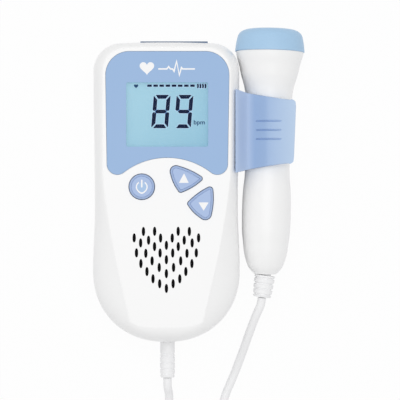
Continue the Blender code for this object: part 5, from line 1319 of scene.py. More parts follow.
    def front(
        self,
        coat: bpy.types.Material,
        keypad: "Keypad",
        plate_outline: Callable[[float], list[Point]],
    ) -> None:
        """Makes the front shell with its recess, openings, grille and posts.

        Args:
            coat: Its material.
            keypad: The keys that it has holes for.
            plate_outline: Gives the faceplate's outline, grown by a distance.
        """
        rings = [self.panel_ring(0.8, 0.0), self.panel_ring(0.4, 0.03)]
        rings += reversed(
            self.flank(self.casing_half(0), self.panel_half(0), FACE, self.panel_edge_drop)
        )
        rings += self.rim_rings(1)
        rings += self.flank(self.casing_half(WALL), self.panel_half(1.6), INNER_FACE, 0.0)
        shell = drawn("casing_front", rings)
        recess = plate("recess", plate_outline(self.seam), FACE - 1.0, FACE + OVERRUN)
        work(shell, Joint.CUT, [recess, self.arch_line()])
        half_x, half_y = [half + WINDOW_LIP + FIT for half in DISPLAY_HALF]
        window = rounded_rectangle(*DISPLAY_MIDDLE, half_x, half_y, DISPLAY_CORNER)
        tools = [plate("window", window, INNER_FACE - OVERRUN, FACE + OVERRUN)]
        for key in KeyName:
            outline = keypad.outline(key, self.key_room)
            tools.append(plate("key_hole", outline, INNER_FACE - OVERRUN, FACE + OVERRUN))
        tools += self.ovals(0.0, INNER_FACE - OVERRUN, FACE + OVERRUN)
        work(shell, Joint.CUT, tools)
        start_y = self.half_length - WALL - OVERRUN
        end_y = self.half_length + 2 * OVERRUN
        back = self.board_back - FIT
        low = (self.cover_x - self.cover_half_width - FIT, self.cover_inner_y - FIT)
        high = (self.cover_x + self.cover_half_width + FIT, end_y)
        recess = block(
            "cover_recess", (*low, self.cover_low - FIT), (*high, self.cover_high + FIT)
        )
        work(shell, Joint.CUT, [recess])
        x = self.headphone_x
        height = back - self.headphone_height / 2
        radius = self.headphone_radius + FIT
        hole = rod("headphone_hole", radius, (x, start_y, height), (x, end_y, height))
        half = self.charging_half_width + FIT
        low = (self.charging_x - half, start_y, back - self.charging_height - FIT)
        high = (self.charging_x + half, end_y, back + FIT)
        work(shell, Joint.CUT, [hole, block("charging_hole", low, high)])
        for x, y in self.screw_places:
            start = (x, y, PARTING + self.rim_room)
            post = rod("post", self.post_radius, start, (x, y, INNER_FACE + 0.5))
            work(shell, Joint.ADD, [post])
            start = (x, y, PARTING - OVERRUN)
            bore = rod("bore", self.screw_radius + FIT, start, (x, y, self.screw_top + FIT))
            work(shell, Joint.CUT, [bore])
        holes = []
        for y in CLIP_SCREW_YS:
            start = (self.half_width - self.waist_inset - WALL - OVERRUN, y, CLIP_SCREW_HEIGHT)
            end = (self.half_width + OVERRUN, y, CLIP_SCREW_HEIGHT)
            holes.append(rod("clip_screw_hole", CLIP_SCREW_RADIUS + FIT, start, end))
        work(shell, Joint.CUT, holes)
        settle(shell, UNIT_SHIFT)
        mount(polish(shell), coat, "unit", "white_shell", "front_shell")

    def arch_line(self) -> bpy.types.Object:
        """The cutter of the fine arched line that runs between the keys."""
        centre_y = -16.3
        outer = arc(0.0, centre_y, 30.04, 51.4, 115.7, 30)
        inner = arc(0.0, centre_y, 29.86, 115.7, 51.4, 30)
        return plate("arch_line", outer + inner, FACE - 0.08, FACE + OVERRUN)

    def back_rings(self, inset: float, floor: float) -> list[list[Place]]:
        """Rings from the flat back round its soft edge to the straight side."""
        across = self.back_inset - inset / 2
        up = self.back_height - inset
        rings = []
        for angle in [math.pi / 2 * (1 - step / self.back_steps) for step in range(self.back_steps + 1)]:
            half = self.casing_half(inset + across * (1 - math.cos(angle)))
            rings.append(self.flat_ring(half, floor + up * (1 - math.sin(angle))))
        return rings

    def back(self, coat: bpy.types.Material, bay: "BatteryBay") -> None:
        """Makes the rear shell with the bay for the cells, its bosses, bores and plug hole."""
        rim = PARTING - self.rim_room
        rings = self.back_rings(0.0, 0.0)
        rings += self.rim_rings(-1)
        rings += reversed(self.back_rings(WALL, WALL))
        shell = drawn("casing_rear", rings)
        bay.line(shell)
        for x, y in self.screw_places:
            boss = rod("boss", self.boss_radius, (x, y, MERGE + 1.0), (x, y, rim))
            work(shell, Joint.ADD, [boss])
            head = rod("counterbore", self.head_radius, (x, y, -OVERRUN), (x, y, self.head_height))
            work(shell, Joint.CUT, [head])
            chamfer = self.head_chamfer
            wide = self.head_radius + chamfer
            profile = [(wide, -1.0), (wide, 0.0), (self.head_radius, chamfer), (1.0, chamfer)]
            rim_cut = turned("countersink", profile, 32)
            settle(rim_cut, Matrix.Translation(Vector((x, y, 0.0)) * MM))
            work(shell, Joint.CUT, [rim_cut])
            start = (x, y, self.head_height - FIT)
            bore = rod("bore", self.screw_radius + FIT, start, (x, y, rim + OVERRUN))
            work(shell, Joint.CUT, [bore])
        for side in (-1, 1):
            x = PLUG_X + side * self.socket_post_x
            y = self.socket_board_y
            end = (x, y, self.socket_board_low - FIT)
            post = rod("board_post", self.socket_post_radius, (x, y, 1.0), end)
            work(shell, Joint.ADD, [post])
        bay.open(shell)
        hole = rod(
            "plug_hole",
            self.plug_hole_radius + FIT,
            (PLUG_X, -self.half_length - OVERRUN, PLUG_HEIGHT),
            (PLUG_X, -self.half_length + WALL + OVERRUN, PLUG_HEIGHT),
        )
        work(shell, Joint.CUT, [hole])
        label = rounded_rectangle(0.0, self.label_y, *self.label_half, self.label_corner)
        work(shell, Joint.CUT, [plate("label_field", label, -OVERRUN, self.label_depth)])
        settle(shell, UNIT_SHIFT)
        mount(polish(shell), coat, "unit", "white_shell", "rear_shell")

    def cover(self, coat: bpy.types.Material) -> None:
        """Makes the soft cover at the top end, with a nail notch."""
        low = (self.cover_x - self.cover_half_width, self.cover_inner_y, self.cover_low)
        high = (self.cover_x + self.cover_half_width, self.half_length + 0.2, self.cover_high)
        made = block("socket_cover", low, high)
        notch = rod(
            "notch",
            1.6,
            (self.cover_x - 4.0, high[1] + 1.25, high[2] - 2.2),
            (self.cover_x + 4.0, high[1] + 1.25, high[2] - 2.2),
        )
        soften(work(made, Joint.CUT, [notch]), 0.12)
        settle(made, UNIT_SHIFT)
        mount(polish(made), coat, "port_cover", "cap_blue", "port_cover")


@dataclass
class BatteryBay:
    """The bay for two cells in the unit's back, and its door."""

    middle_y: float = 8.0
    half: Point = (15.7, 28.5)
    top: float = 17.2
    wall: float = 1.6
    door_half: Point = (18.0, 31.0)
    sink: float = 0.15
    thickness: float = 1.6
    ledge: float = 2.05
    ledge_width: float = 1.8
    ledge_high: float = 4.2
    tongue_x: float = 9.0
    tongue_half: float = 3.0
    tongue_reach: float = 2.0
    tongue_root: float = 1.4
    tongue_thickness: float = 1.4
    tongue_room: float = 0.85
    latch_half: float = 5.0
    latch_thickness: float = 1.2
    latch_inset: float = 0.6
    latch_high: float = 4.6
    latch_room: float = 0.6
    ridge_pitch: float = 1.7
    ridge_count: int = 6

    def door_low(self) -> float:
        """The door's lowest Y."""
        return self.middle_y - self.door_half[1]

    def door_high(self) -> float:
        """The door's highest Y."""
        return self.middle_y + self.door_half[1]

    def line(self, shell: bpy.types.Object) -> None:
        """Adds the bay's walls and the ledge round its door inside the shell."""
        wide = self.door_half[0] + FIT + self.ledge_width
        low_y = self.door_low() - FIT - self.ledge_width
        high_y = self.door_high() + FIT + self.ledge_width
        work(shell, Joint.ADD, [block("ledge", (-wide, low_y, 1.0), (wide, high_y, self.ledge_high))])
        half_x = self.half[0] + self.wall
        half_y = self.half[1] + self.wall
        low = (-half_x, self.middle_y - half_y, 1.2)
        high = (half_x, self.middle_y + half_y, self.top + self.wall)
        work(shell, Joint.ADD, [block("tub", low, high)])

    def open(self, shell: bpy.types.Object) -> None:
        """Cuts the bay, the door's recess and the pockets for its tongues and latch."""
        half_x, half_y = self.half
        low = (-half_x, self.middle_y - half_y, -OVERRUN)
        work(shell, Joint.CUT, [block("bay", low, (half_x, self.middle_y + half_y, self.top))])
        recess = rounded_rectangle(
            0.0, self.middle_y, self.door_half[0] + FIT, self.door_half[1] + FIT, FIT / 2, 3
        )
        work(shell, Joint.CUT, [plate("door_recess", recess, -OVERRUN, self.ledge)])
        pockets = []
        for side in (-1, 1):
            x = side * self.tongue_x
            low = (x - self.tongue_half - FIT, self.middle_y + half_y - 1.0, self.ledge - FIT / 2)
            high = (
                x + self.tongue_half + FIT,
                self.door_high() + self.tongue_reach + 2 * FIT,
                self.ledge + FIT + self.tongue_thickness + self.tongue_room,
            )
            pockets.append(block("tongue_pocket", low, high))
        low_y = self.door_low() + self.latch_inset - self.latch_room + FIT
        low = (-self.latch_half - FIT, low_y, self.ledge - FIT / 2)
        high = (self.latch_half + FIT, self.middle_y - half_y + 1.0, self.latch_high + self.latch_room)
        work(shell, Joint.CUT, pockets + [block("latch_pocket", low, high)])

    def door(self, coat: bpy.types.Material) -> None:
        """Makes the door: a softened plate with grip ridges, an arrow, two tongues and a latch."""
        half_x, half_y = self.door_half
        inside = self.sink + self.thickness
        low_y, high_y = self.door_low(), self.door_high()
        made = soften(block("cell_door", (-half_x, low_y, self.sink), (half_x, high_y, inside)), 0.25)
        parts = []
        for side in (-1, 1):
            near = side * self.tongue_x - self.tongue_half
            far = side * self.tongue_x + self.tongue_half
            root_y = high_y - self.tongue_root
            bottom = self.ledge + FIT
            high = bottom + self.tongue_thickness
            outline = [
                (root_y, inside - 0.3),
                (high_y - MERGE, inside - 0.3),
                (high_y - MERGE, bottom),
                (high_y + self.tongue_reach, bottom),
                (high_y + self.tongue_reach, high - 0.3),
                (high_y + self.tongue_reach - 0.3, high),
                (root_y, high),
            ]
            rings = [[(x, y, z) for y, z in outline] for x in (near, far)]
            parts.append(drawn("tongue", rings))
        latch_y = low_y + self.latch_inset + self.latch_room
        low = (-self.latch_half, latch_y, inside - 0.3)
        high = (self.latch_half, latch_y + self.latch_thickness, self.latch_high)
        parts.append(block("latch", low, high))
        work(made, Joint.ADD, parts)
        cuts = []
        for index in range(self.ridge_count):
            y = low_y + 5.5 + index * self.ridge_pitch
            cuts.append(rod("ridge", 0.45, (-8.0, y, self.sink), (8.0, y, self.sink), 16))
        top_y = low_y + 5.5 + self.ridge_count * self.ridge_pitch + 1.6
        arrow = [(-3.4, top_y + 3.6), (3.4, top_y + 3.6), (0.0, top_y)]
        cuts.append(plate("arrow", arrow, self.sink - 0.5, self.sink + 0.35))
        work(made, Joint.CUT, cuts)
        settle(made, UNIT_SHIFT)
        mount(polish(made), coat, "battery_door", "white_shell", "battery_door")


class KeyName(Enum):
    """The unit's three keys."""

    POWER = "power_key"
    UP = "up_key"
    DOWN = "down_key"


@dataclass
class Keypad:
    """Three soft-edged keys with their white marks."""

    power_place: Point = (-10.85, 2.35)
    power_radius: float = 5.72
    room: float = 0.19
    up_corners: tuple[Place, ...] = ((14.72, 5.94, 1.15), (4.23, 9.07, 2.65), (6.34, 1.0, 1.2))
    down_corners: tuple[Place, ...] = (
        (17.14, -9.48, 2.8),
        (19.08, 0.83, 1.5),
        (10.49, -5.08, 1.2),
    )
    bulge: float = 0.45
    top: float = 33.17
    mark_sink: float = 0.02
    mark_top: float = 33.2
    power_mark_place: Point = (-10.85, 2.25)

    def petal(self, corners: Sequence[Place], grow: float) -> list[Point]:
        """The outline round three circles, with its sides bulging a little.

        Args:
            corners: Each circle's place and radius.
            grow: How far outside the circles the outline runs.

        Returns:
            The outline's points.
        """
        points = []
        count = len(corners)
        normals = []
        for index in range(count):
            x, y, radius = corners[index]
            next_x, next_y, next_radius = corners[(index + 1) % count]
            along = math.atan2(next_y - y, next_x - x)
            span = math.hypot(next_x - x, next_y - y)
            normals.append(along - math.acos((radius - next_radius) / span))
        for index in range(count):
            x, y, radius = corners[index]
            start = math.degrees(normals[index - 1])
            end = math.degrees(normals[index])
            if end < start:
                end += 360
            turn = arc(x, y, radius + grow, start, end, 12)
            points += turn
            next_x, next_y, next_radius = corners[(index + 1) % count]
            out_x, out_y = math.cos(normals[index]), math.sin(normals[index])
            end_x = next_x + (next_radius + grow) * out_x
            end_y = next_y + (next_radius + grow) * out_y
            for step in range(1, 10):
                share = step / 10
                bulge = self.bulge * 4 * share * (1 - share)
                x_here = lerp(turn[-1][0], end_x, share) + bulge * out_x
                y_here = lerp(turn[-1][1], end_y, share) + bulge * out_y
                points.append((x_here, y_here))
        return points

    def outline(self, key: KeyName, grow: float) -> list[Point]:
        """A key's outline, grown by a little."""
        if key is KeyName.POWER:
            return arc(*self.power_place, self.power_radius + grow, 0, 354, 59)
        return self.petal(self.up_corners if key is KeyName.UP else self.down_corners, grow)

    def middle(self, key: KeyName) -> Point:
        """Where a key's stem stands."""
        if key is KeyName.POWER:
            return self.power_place
        corners = self.up_corners if key is KeyName.UP else self.down_corners
        return (sum(c[0] for c in corners) / 3, sum(c[1] for c in corners) / 3)

    def cap(self, key: KeyName, coat: bpy.types.Material) -> None:
        """Makes one key: a bevelled rim round a face set off by a fine groove."""
        low = INNER_FACE - FIT - 1.0
        high = INNER_FACE - FIT
        steps = (
            (1.0 + self.room, low),
            (1.0 + self.room, high),
            (0.0, high),
            (0.0, self.top - 0.9),
            (-0.05, self.top - 0.78),
            (-0.15, self.top - 0.7),
            (-0.82, self.top - 0.1),
            (-0.9, self.top - 0.34),
            (-0.98, self.top - 0.06),
            (-1.03, self.top),
        )
        rings = [level(self.outline(key, grow - self.room), height) for grow, height in steps]
        made = drawn(key.value + "_cap", rings)
        x, y = self.middle(key)
        stem_low = 24.6 + FIT + 1.6 + 0.5 + 0.5 + FIT / 2
        work(made, Joint.ADD, [rod("stem", 1.5, (x, y, stem_low), (x, y, low + 0.5))])
        mount(polish(settle(made, UNIT_SHIFT)), coat, key.value, "key_blue", key.value)

    def arrow(self, key: KeyName, corners: Sequence[Place], coat: bpy.types.Material) -> None:
        """Prints one triangle on a key."""
        flat = Keypad(bulge=0.0)
        made = plate(key.value + "_mark", flat.petal(corners, 0.0), self.top - self.mark_sink, self.mark_top)
        mount(settle(made, UNIT_SHIFT), coat, key.value, "key_blue")

    def power_mark(self, coat: bpy.types.Material, glow_paint: bpy.types.Material) -> None:
        """Prints the power sign: a drop-shaped ring, open at its top, and a bar, and lays a paler field
        inside the ring as a painted glow.
        """
        centre_x, centre_y = self.power_mark_place
        outer = []
        inner = []
        for step in range(41):
            angle = math.radians(lerp(58, -238, step / 40))
            point = 0.42 * math.exp(-((math.degrees(angle) + 90) / 26) ** 2)
            for side, radius in ((outer, 2.62 + point), (inner, 2.08 + point * 0.7)):
                x = centre_x + radius * math.cos(angle)
                side.append((x, centre_y + radius * math.sin(angle)))
        ring = plate("ring", outer + inner[::-1], self.top - self.mark_sink, self.mark_top)
        bar = rounded_rectangle(centre_x, centre_y + 1.5, 0.34, 1.75, 0.3)
        made = joined("power_key_mark", [ring, plate("bar", bar, self.top - self.mark_sink, self.mark_top)])
        mount(settle(made, UNIT_SHIFT), coat, "power_key", "key_blue")
        # A paler field inside the ring: painted glow.
        glow_piece = plate("power_key_painted_glow", inner, self.top - self.mark_sink, self.top + 0.01)
        mount(settle(glow_piece, UNIT_SHIFT), glow_paint, "power_key", "key_blue")

    def build(
        self, coat: bpy.types.Material, ink: bpy.types.Material, glow_paint: bpy.types.Material
    ) -> None:
        """Makes the keys and their marks."""
        for key in KeyName:
            self.cap(key, coat)
        self.power_mark(ink, glow_paint)
        up = ((9.6, 4.2, 0.15), (7.78, 7.95, 0.15), (5.75, 4.2, 0.15))
        down = ((16.4, -7.95, 0.15), (18.35, -4.7, 0.15), (14.4, -4.7, 0.15))
        self.arrow(KeyName.UP, up, ink)
        self.arrow(KeyName.DOWN, down, ink)


@dataclass
class FacePlate:
    """The blue plate round the display, with its printed mark."""

    half_width: float = 27.25
    lower_half_width: float = 26.65
    top: float = 62.1
    corner: float = 10.4
    lobe: float = 4.6
    arch_peak: float = 15.2
    arch_radius: float = 31.5
    low: float = FACE - 1.0 + FIT
    thickness: float = 0.8
    aside: float = 0.42
    opening_aside_share: float = 0.8

    def outline(self, grow: float) -> list[Point]:
        """Round top corners, two lobes below, and an arch between them."""
        corner_x = self.half_width - self.corner
        corner_y = self.top - self.corner
        arch_y = self.arch_peak - self.arch_radius
        lobe_x = self.lower_half_width - self.lobe
        lobe_y = arch_y + math.sqrt((self.arch_radius + self.lobe) ** 2 - lobe_x**2)
        meeting = math.degrees(math.atan2(lobe_y - arch_y, lobe_x))
        right = arc(corner_x, corner_y, self.corner + grow, 90, 0, 18)
        right += arc(lobe_x, lobe_y, self.lobe + grow, 0, meeting - 180, 18)
        arch = arc(0.0, arch_y, self.arch_radius - grow, meeting, 180 - meeting, 36)
        left = [(-x, y) for x, y in reversed(right)]
        return [(x + self.aside, y) for x, y in right + arch[1:-1] + left]

    def build(self, coat: bpy.types.Material, ink: bpy.types.Material) -> None:
        """Makes the plate and prints a heart and a pulse line on it."""
        high = self.low + self.thickness
        edge = 0.14
        rings = [
            level(self.outline(0.0), self.low),
            level(self.outline(0.0), high - edge),
            level(self.outline(-edge * 0.35), high - edge * 0.3),
            level(self.outline(-edge), high),
        ]
        made = drawn("face_plate", rings)
        x = self.aside * self.opening_aside_share
        opening = rounded_rectangle(x, DISPLAY_MIDDLE[1], *DISPLAY_HALF, DISPLAY_CORNER)
        work(made, Joint.CUT, [plate("opening", opening, self.low - OVERRUN, FACE + OVERRUN)])
        mount(polish(settle(made, UNIT_SHIFT)), coat, "unit", "blue_plate", "faceplate")
        self.mark(ink, high)

    def mark(self, ink: bpy.types.Material, high: float) -> None:
        """Prints a plain heart and a pulse line where the plate has room for a mark."""
        trace = [
            (-3.6, 54.3), (0.2, 54.3), (1.0, 55.3), (1.8, 54.3), (2.7, 54.3), (3.4, 53.3),
            (4.5, 57.7), (5.7, 51.5), (6.6, 54.9), (7.2, 54.3), (12.6, 54.3),
        ]
        low = high - 0.01
        high += 0.03
        parts = [
            plate("heart", heart(-8.6, 54.9, 0.2), low, high),
            plate("trace", stroke(trace, 0.32), low, high),
        ]
        made = joined("plate_mark", parts)
        mount(settle(made, UNIT_SHIFT), ink, "unit", "blue_plate")


def stroke(points: Sequence[Point], half: float) -> list[Point]:
    """The outline of a line of some width along points, with mitred corners.

    Args:
        points: The line's points.
        half: Half its width.

    Returns:
        The outline's points.
    """
    left = []
    right = []
    last = len(points) - 1
    for index in range(last + 1):
        here = Vector(points[index])
        before = (here - Vector(points[max(0, index - 1)])).normalized()
        after = (Vector(points[min(last, index + 1)]) - here).normalized()
        if index == 0:
            before = after
        if index == last:
            after = before
        normal = Vector((-(before.y + after.y), before.x + after.x)).normalized()
        reach = half / max(0.35, normal.dot(Vector((-before.y, before.x))))
        left.append((here.x + normal.x * reach, here.y + normal.y * reach))
        right.append((here.x - normal.x * reach, here.y - normal.y * reach))
    return left + right[::-1]


@dataclass
class Display:
    """What the lit glass shows: two digits, a row of dashes, a level sign, a heart and the unit."""

    surface: float = 29.9
    digit_size: Point = (7.45, 14.75)
    slant: float = math.tan(math.radians(4.6))
    baseline: float = 28.25
    digit_starts: tuple[float, float] = (-6.75, 3.35)
    stroke_width: float = 1.72

    def segments(self) -> dict[str, list[Point]]:
        """The seven segments of a digit whose lower left corner is at 0, 0."""
        wide, high = self.digit_size
        t = self.stroke_width
        mid = high / 2
        top = [(0.85, high), (wide - 0.75, high), (wide - t - 0.3, high - t), (t + 0.3, high - t)]
        upper = [
            (0.0, high - 0.5), (0.25, high - 0.55), (t, high - t - 0.5), (t, mid + 0.95),
            (t - 0.5, mid + 0.35), (0.35, mid + 0.35), (0.0, mid + 0.8),
        ]
        middle = [
            (1.15, mid), (1.85, mid + 0.8), (wide - 1.85, mid + 0.8), (wide - 1.15, mid),
            (wide - 1.85, mid - 0.8), (1.85, mid - 0.8),
        ]
        lower = [(x, high - y) for x, y in upper]
        return {
            "top": top,
            "upper_left": upper,
            "upper_right": [(wide - x, y) for x, y in upper],
            "middle": middle,
            "lower_left": lower,
            "lower_right": [(wide - x, y) for x, y in lower],
            "bottom": [(x, high - y) for x, y in top],
        }

    def lean(self, outline: Sequence[Point], start: float) -> list[Point]:
        """A segment put in its place on the glass, leaning to the right."""
        return [(start + x + y * self.slant, self.baseline + y) for x, y in outline]

    def marks(self) -> list[list[Point]]:
        """The outlines of all dark marks but the letters."""
        parts = self.segments()
        outlines = [self.lean(part, self.digit_starts[0]) for part in parts.values()]
        nine = [name for name in parts if name != "lower_left"]
        outlines += [self.lean(parts[name], self.digit_starts[1]) for name in nine]
        for index in range(8):
            x = -7.5 + index * 2.72
            outlines.append(rounded_rectangle(x, 47.05, 1.02, 0.5, 0.2, 3))
        for index in range(4):
            bow = 1.25 - 0.1 * abs(index - 1.5)
            x = 13.85 + index * 1.12
            outer = arc(x - 1.6, 46.9, 2.1, -32, 32, 8)
            inner = arc(x - 1.6, 46.9, 2.1 - 0.74, 32 * bow / 1.25, -32 * bow / 1.25, 8)
            outlines.append(outer + inner)
        return outlines

    def print_marks(self, ink: bpy.types.Material, glow: bpy.types.Material) -> None:
        """Lays the dark marks on the glass, with a pale, faintly lit plate a little wider under each of them
        as a painted glow.
        """
        dark = []
        pale = []
        for outline in self.marks():
            dark.append(plate("mark", outline, self.surface - 0.01, self.surface + 0.06))
            # A pale plate a little wider than the mark, under it: painted glow round the mark.
            middle = sum((Vector(point) for point in outline), Vector((0, 0))) / len(outline)
            wider = []
            for point in outline:
                away = Vector(point) - middle
                reach = Vector((math.copysign(0.2, away.x), math.copysign(0.2, away.y)))
                wider.append(tuple(Vector(point) + reach))
            pale.append(plate("painted_glow", wider, self.surface - 0.01, self.surface + 0.02))
        made = joined("display_marks", dark)
        mount(settle(made, UNIT_SHIFT), ink, "unit", "display_blue")
        made = joined("display_painted_glows", pale)
        mount(settle(made, UNIT_SHIFT), glow, "unit", "display_blue")

    def print_unit(self, ink: bpy.types.Material) -> None:
        """Sets the small beats-per-minute sign beside the digits, and a small heart above."""
        clear_selection()
        bpy.ops.object.text_add(location=(0, 0, 0))
        words = bpy.context.active_object
        words.data.body = "bpm"
        words.data.size = 2.7 * MM
        words.data.extrude = 0.03 * MM
        words.data.offset = 0.045 * MM
        pick(words)
        bpy.ops.object.convert(target="MESH")
        made = bpy.context.active_object
        made.name = "display_unit_sign"
        corner = Matrix.Translation(Vector((11.95, 29.98, self.surface + 0.025)) * MM)
        settle(made, UNIT_SHIFT @ corner @ Matrix.Diagonal((1.08, 1.0, 1.0, 1.0)))
        outline = heart(-13.4, 46.9, 0.062, 24)
        small = plate("heart", outline, self.surface - 0.01, self.surface + 0.05)
        joined("display_unit_sign", [made, settle(small, UNIT_SHIFT)])
        mount(made, ink, "unit", "display_blue")


@dataclass
class Clip:
    """The blue fork on the unit's side: its front arm, three finger grooves and its rear arm."""

    left_x: float = 30.5
    right_x: float = 57.5
    right_lean: float = 0.9
    left_range: Point = (8.5, 45.6)
    right_range: Point = (12.7, 41.0)
    bow: float = 0.7
    corner: float = 2.6
    inner_radius: float = 10.9
    base_x: float = 33.15
    valley_x: float = 36.3
    valley_height: float = 26.6
    crest_height: float = 29.5
    flange: Point = (29.9, 31.4)
    flange_root: float = 25.0
    tip_height: float = 27.8
    rear_end_x: float = 54.0
    rear_thickness: float = 2.0
    rear_corner: float = 4.0
    groove_y: float = 27.5
    groove_pitch: float = 4.0
    groove_x: float = 45.2
    groove_half: float = 5.3
    groove_depth: float = 0.7
    screw_depth: float = 2.45

    def axis_x(self) -> float:
        """Where the probe's axis passes the grooves."""
        return PROBE_FOOT.x - (self.groove_y - PROBE_FOOT.y) * math.tan(PROBE_TILT)

    def section(self) -> list[Point]:
        """The fork seen from its end: across and up."""
        x = self.axis_x()
        height = PROBE_FOOT.z
        points = [(self.left_x, self.flange[1])]
        for share in steps_between(0, 1, 16):
            up = lerp(self.flange[1], self.valley_height, ease(share))
            points.append((lerp(self.left_x, self.valley_x, share), up))
        along = steps_between(self.valley_x, x, 18) + steps_between(x, self.right_x, 24)
        points += [(here, self.crest(here)) for here in along]
        points.append((self.right_x, height + self.inner_radius))
        inner_low = height - self.inner_radius
        outer_low = inner_low - self.rear_thickness
        for share in steps_between(0, 1, 12)[:-1]:
            points.append((lerp(self.right_x, x, share), height + self.inner_radius))
        points += arc(x, height, self.inner_radius, 90, 270, 36)
        points += [(self.rear_end_x, inner_low), (self.rear_end_x, outer_low)]
        corner = self.rear_corner
        points += arc(self.base_x + corner, outer_low + corner, corner, 270, 180, 10)
        points += [(self.base_x, self.flange_root), (self.left_x, self.flange[0])]
        return points

    def reach(self, x: float) -> Point:
        """The fork's lowest and highest Y at one place across."""
        span = self.right_x - self.corner - self.left_x
        share = min(1.0, (x - self.left_x) / span)
        bow = self.bow * 4 * share * (1 - share)
        low = lerp(self.left_range[0], self.right_range[0], share) + bow
        high = lerp(self.left_range[1], self.right_range[1], share) - bow
        past = min(self.corner, max(0.0, x - (self.right_x - self.corner)))
        drop = self.corner - math.sqrt(max(0.0, self.corner**2 - past**2))
        return low + drop, high - drop

    def build(self, coat: bpy.types.Material) -> None:
        """Makes the fork and cuts its grooves."""
        section = self.section()
        low = []
        high = []
        for x, up in section:
            low_y, high_y = self.reach(x)
            lean = self.right_lean * ease((x - self.axis_x()) / (self.right_x - self.axis_x()))
            low.append((x - lean, low_y, up))
            high.append((x, high_y, up))
        made = soften(drawn("probe_clip_fork", [low, high]), 0.28)
        grooves = [
            self.groove(self.groove_y + index * self.groove_pitch) for index in (-1, 0, 1)
        ]
        work(made, Joint.CUT, grooves)
        holes = []
        for y in CLIP_SCREW_YS:
            start = (self.base_x - OVERRUN, y, CLIP_SCREW_HEIGHT)
            end = (self.base_x + self.screw_depth + FIT, y, CLIP_SCREW_HEIGHT)
            holes.append(rod("screw_hole", CLIP_SCREW_RADIUS + FIT, start, end))
        work(made, Joint.CUT, holes)
        settle(made, UNIT_SHIFT)
        mount(polish(made), coat, "unit", "clip_blue", "probe_clip")

    def crest(self, x: float) -> float:
        """The front arm's height at one place across."""
        middle = self.axis_x()
        if x < middle:
            share = ease((x - self.valley_x) / (middle - self.valley_x))
            return lerp(self.valley_height, self.crest_height, share)
        share = (x - middle) / (self.right_x - middle)
        return lerp(self.crest_height, self.tip_height, share * share)

    def groove(self, y: float) -> bpy.types.Object:
        """The cutter of one finger groove, which follows the arm's surface."""
        rings = []
        for share in steps_between(-1.12, 1.12, 28):
            x = self.groove_x + self.groove_half * share
            fade = math.sqrt(max(0.0, 1 - (share / 1.12) ** 6))
            depth = self.groove_depth * fade
            half = max(0.02, 0.45 * fade)
            top = self.crest(x)
            loop = [
                (x, y + half, top + 0.5),
                (x, y + half, top + 0.02),
                (x, y + half * 0.95, top - depth * 0.75),
                (x, y + half * 0.7, top - depth),
                (x, y, top - depth),
                (x, y - half * 0.6, top - depth * 0.5),
                (x, y - half, top + 0.02),
                (x, y - half, top + 0.5),
            ]
            rings.append(loop)
        return drawn("groove", rings)


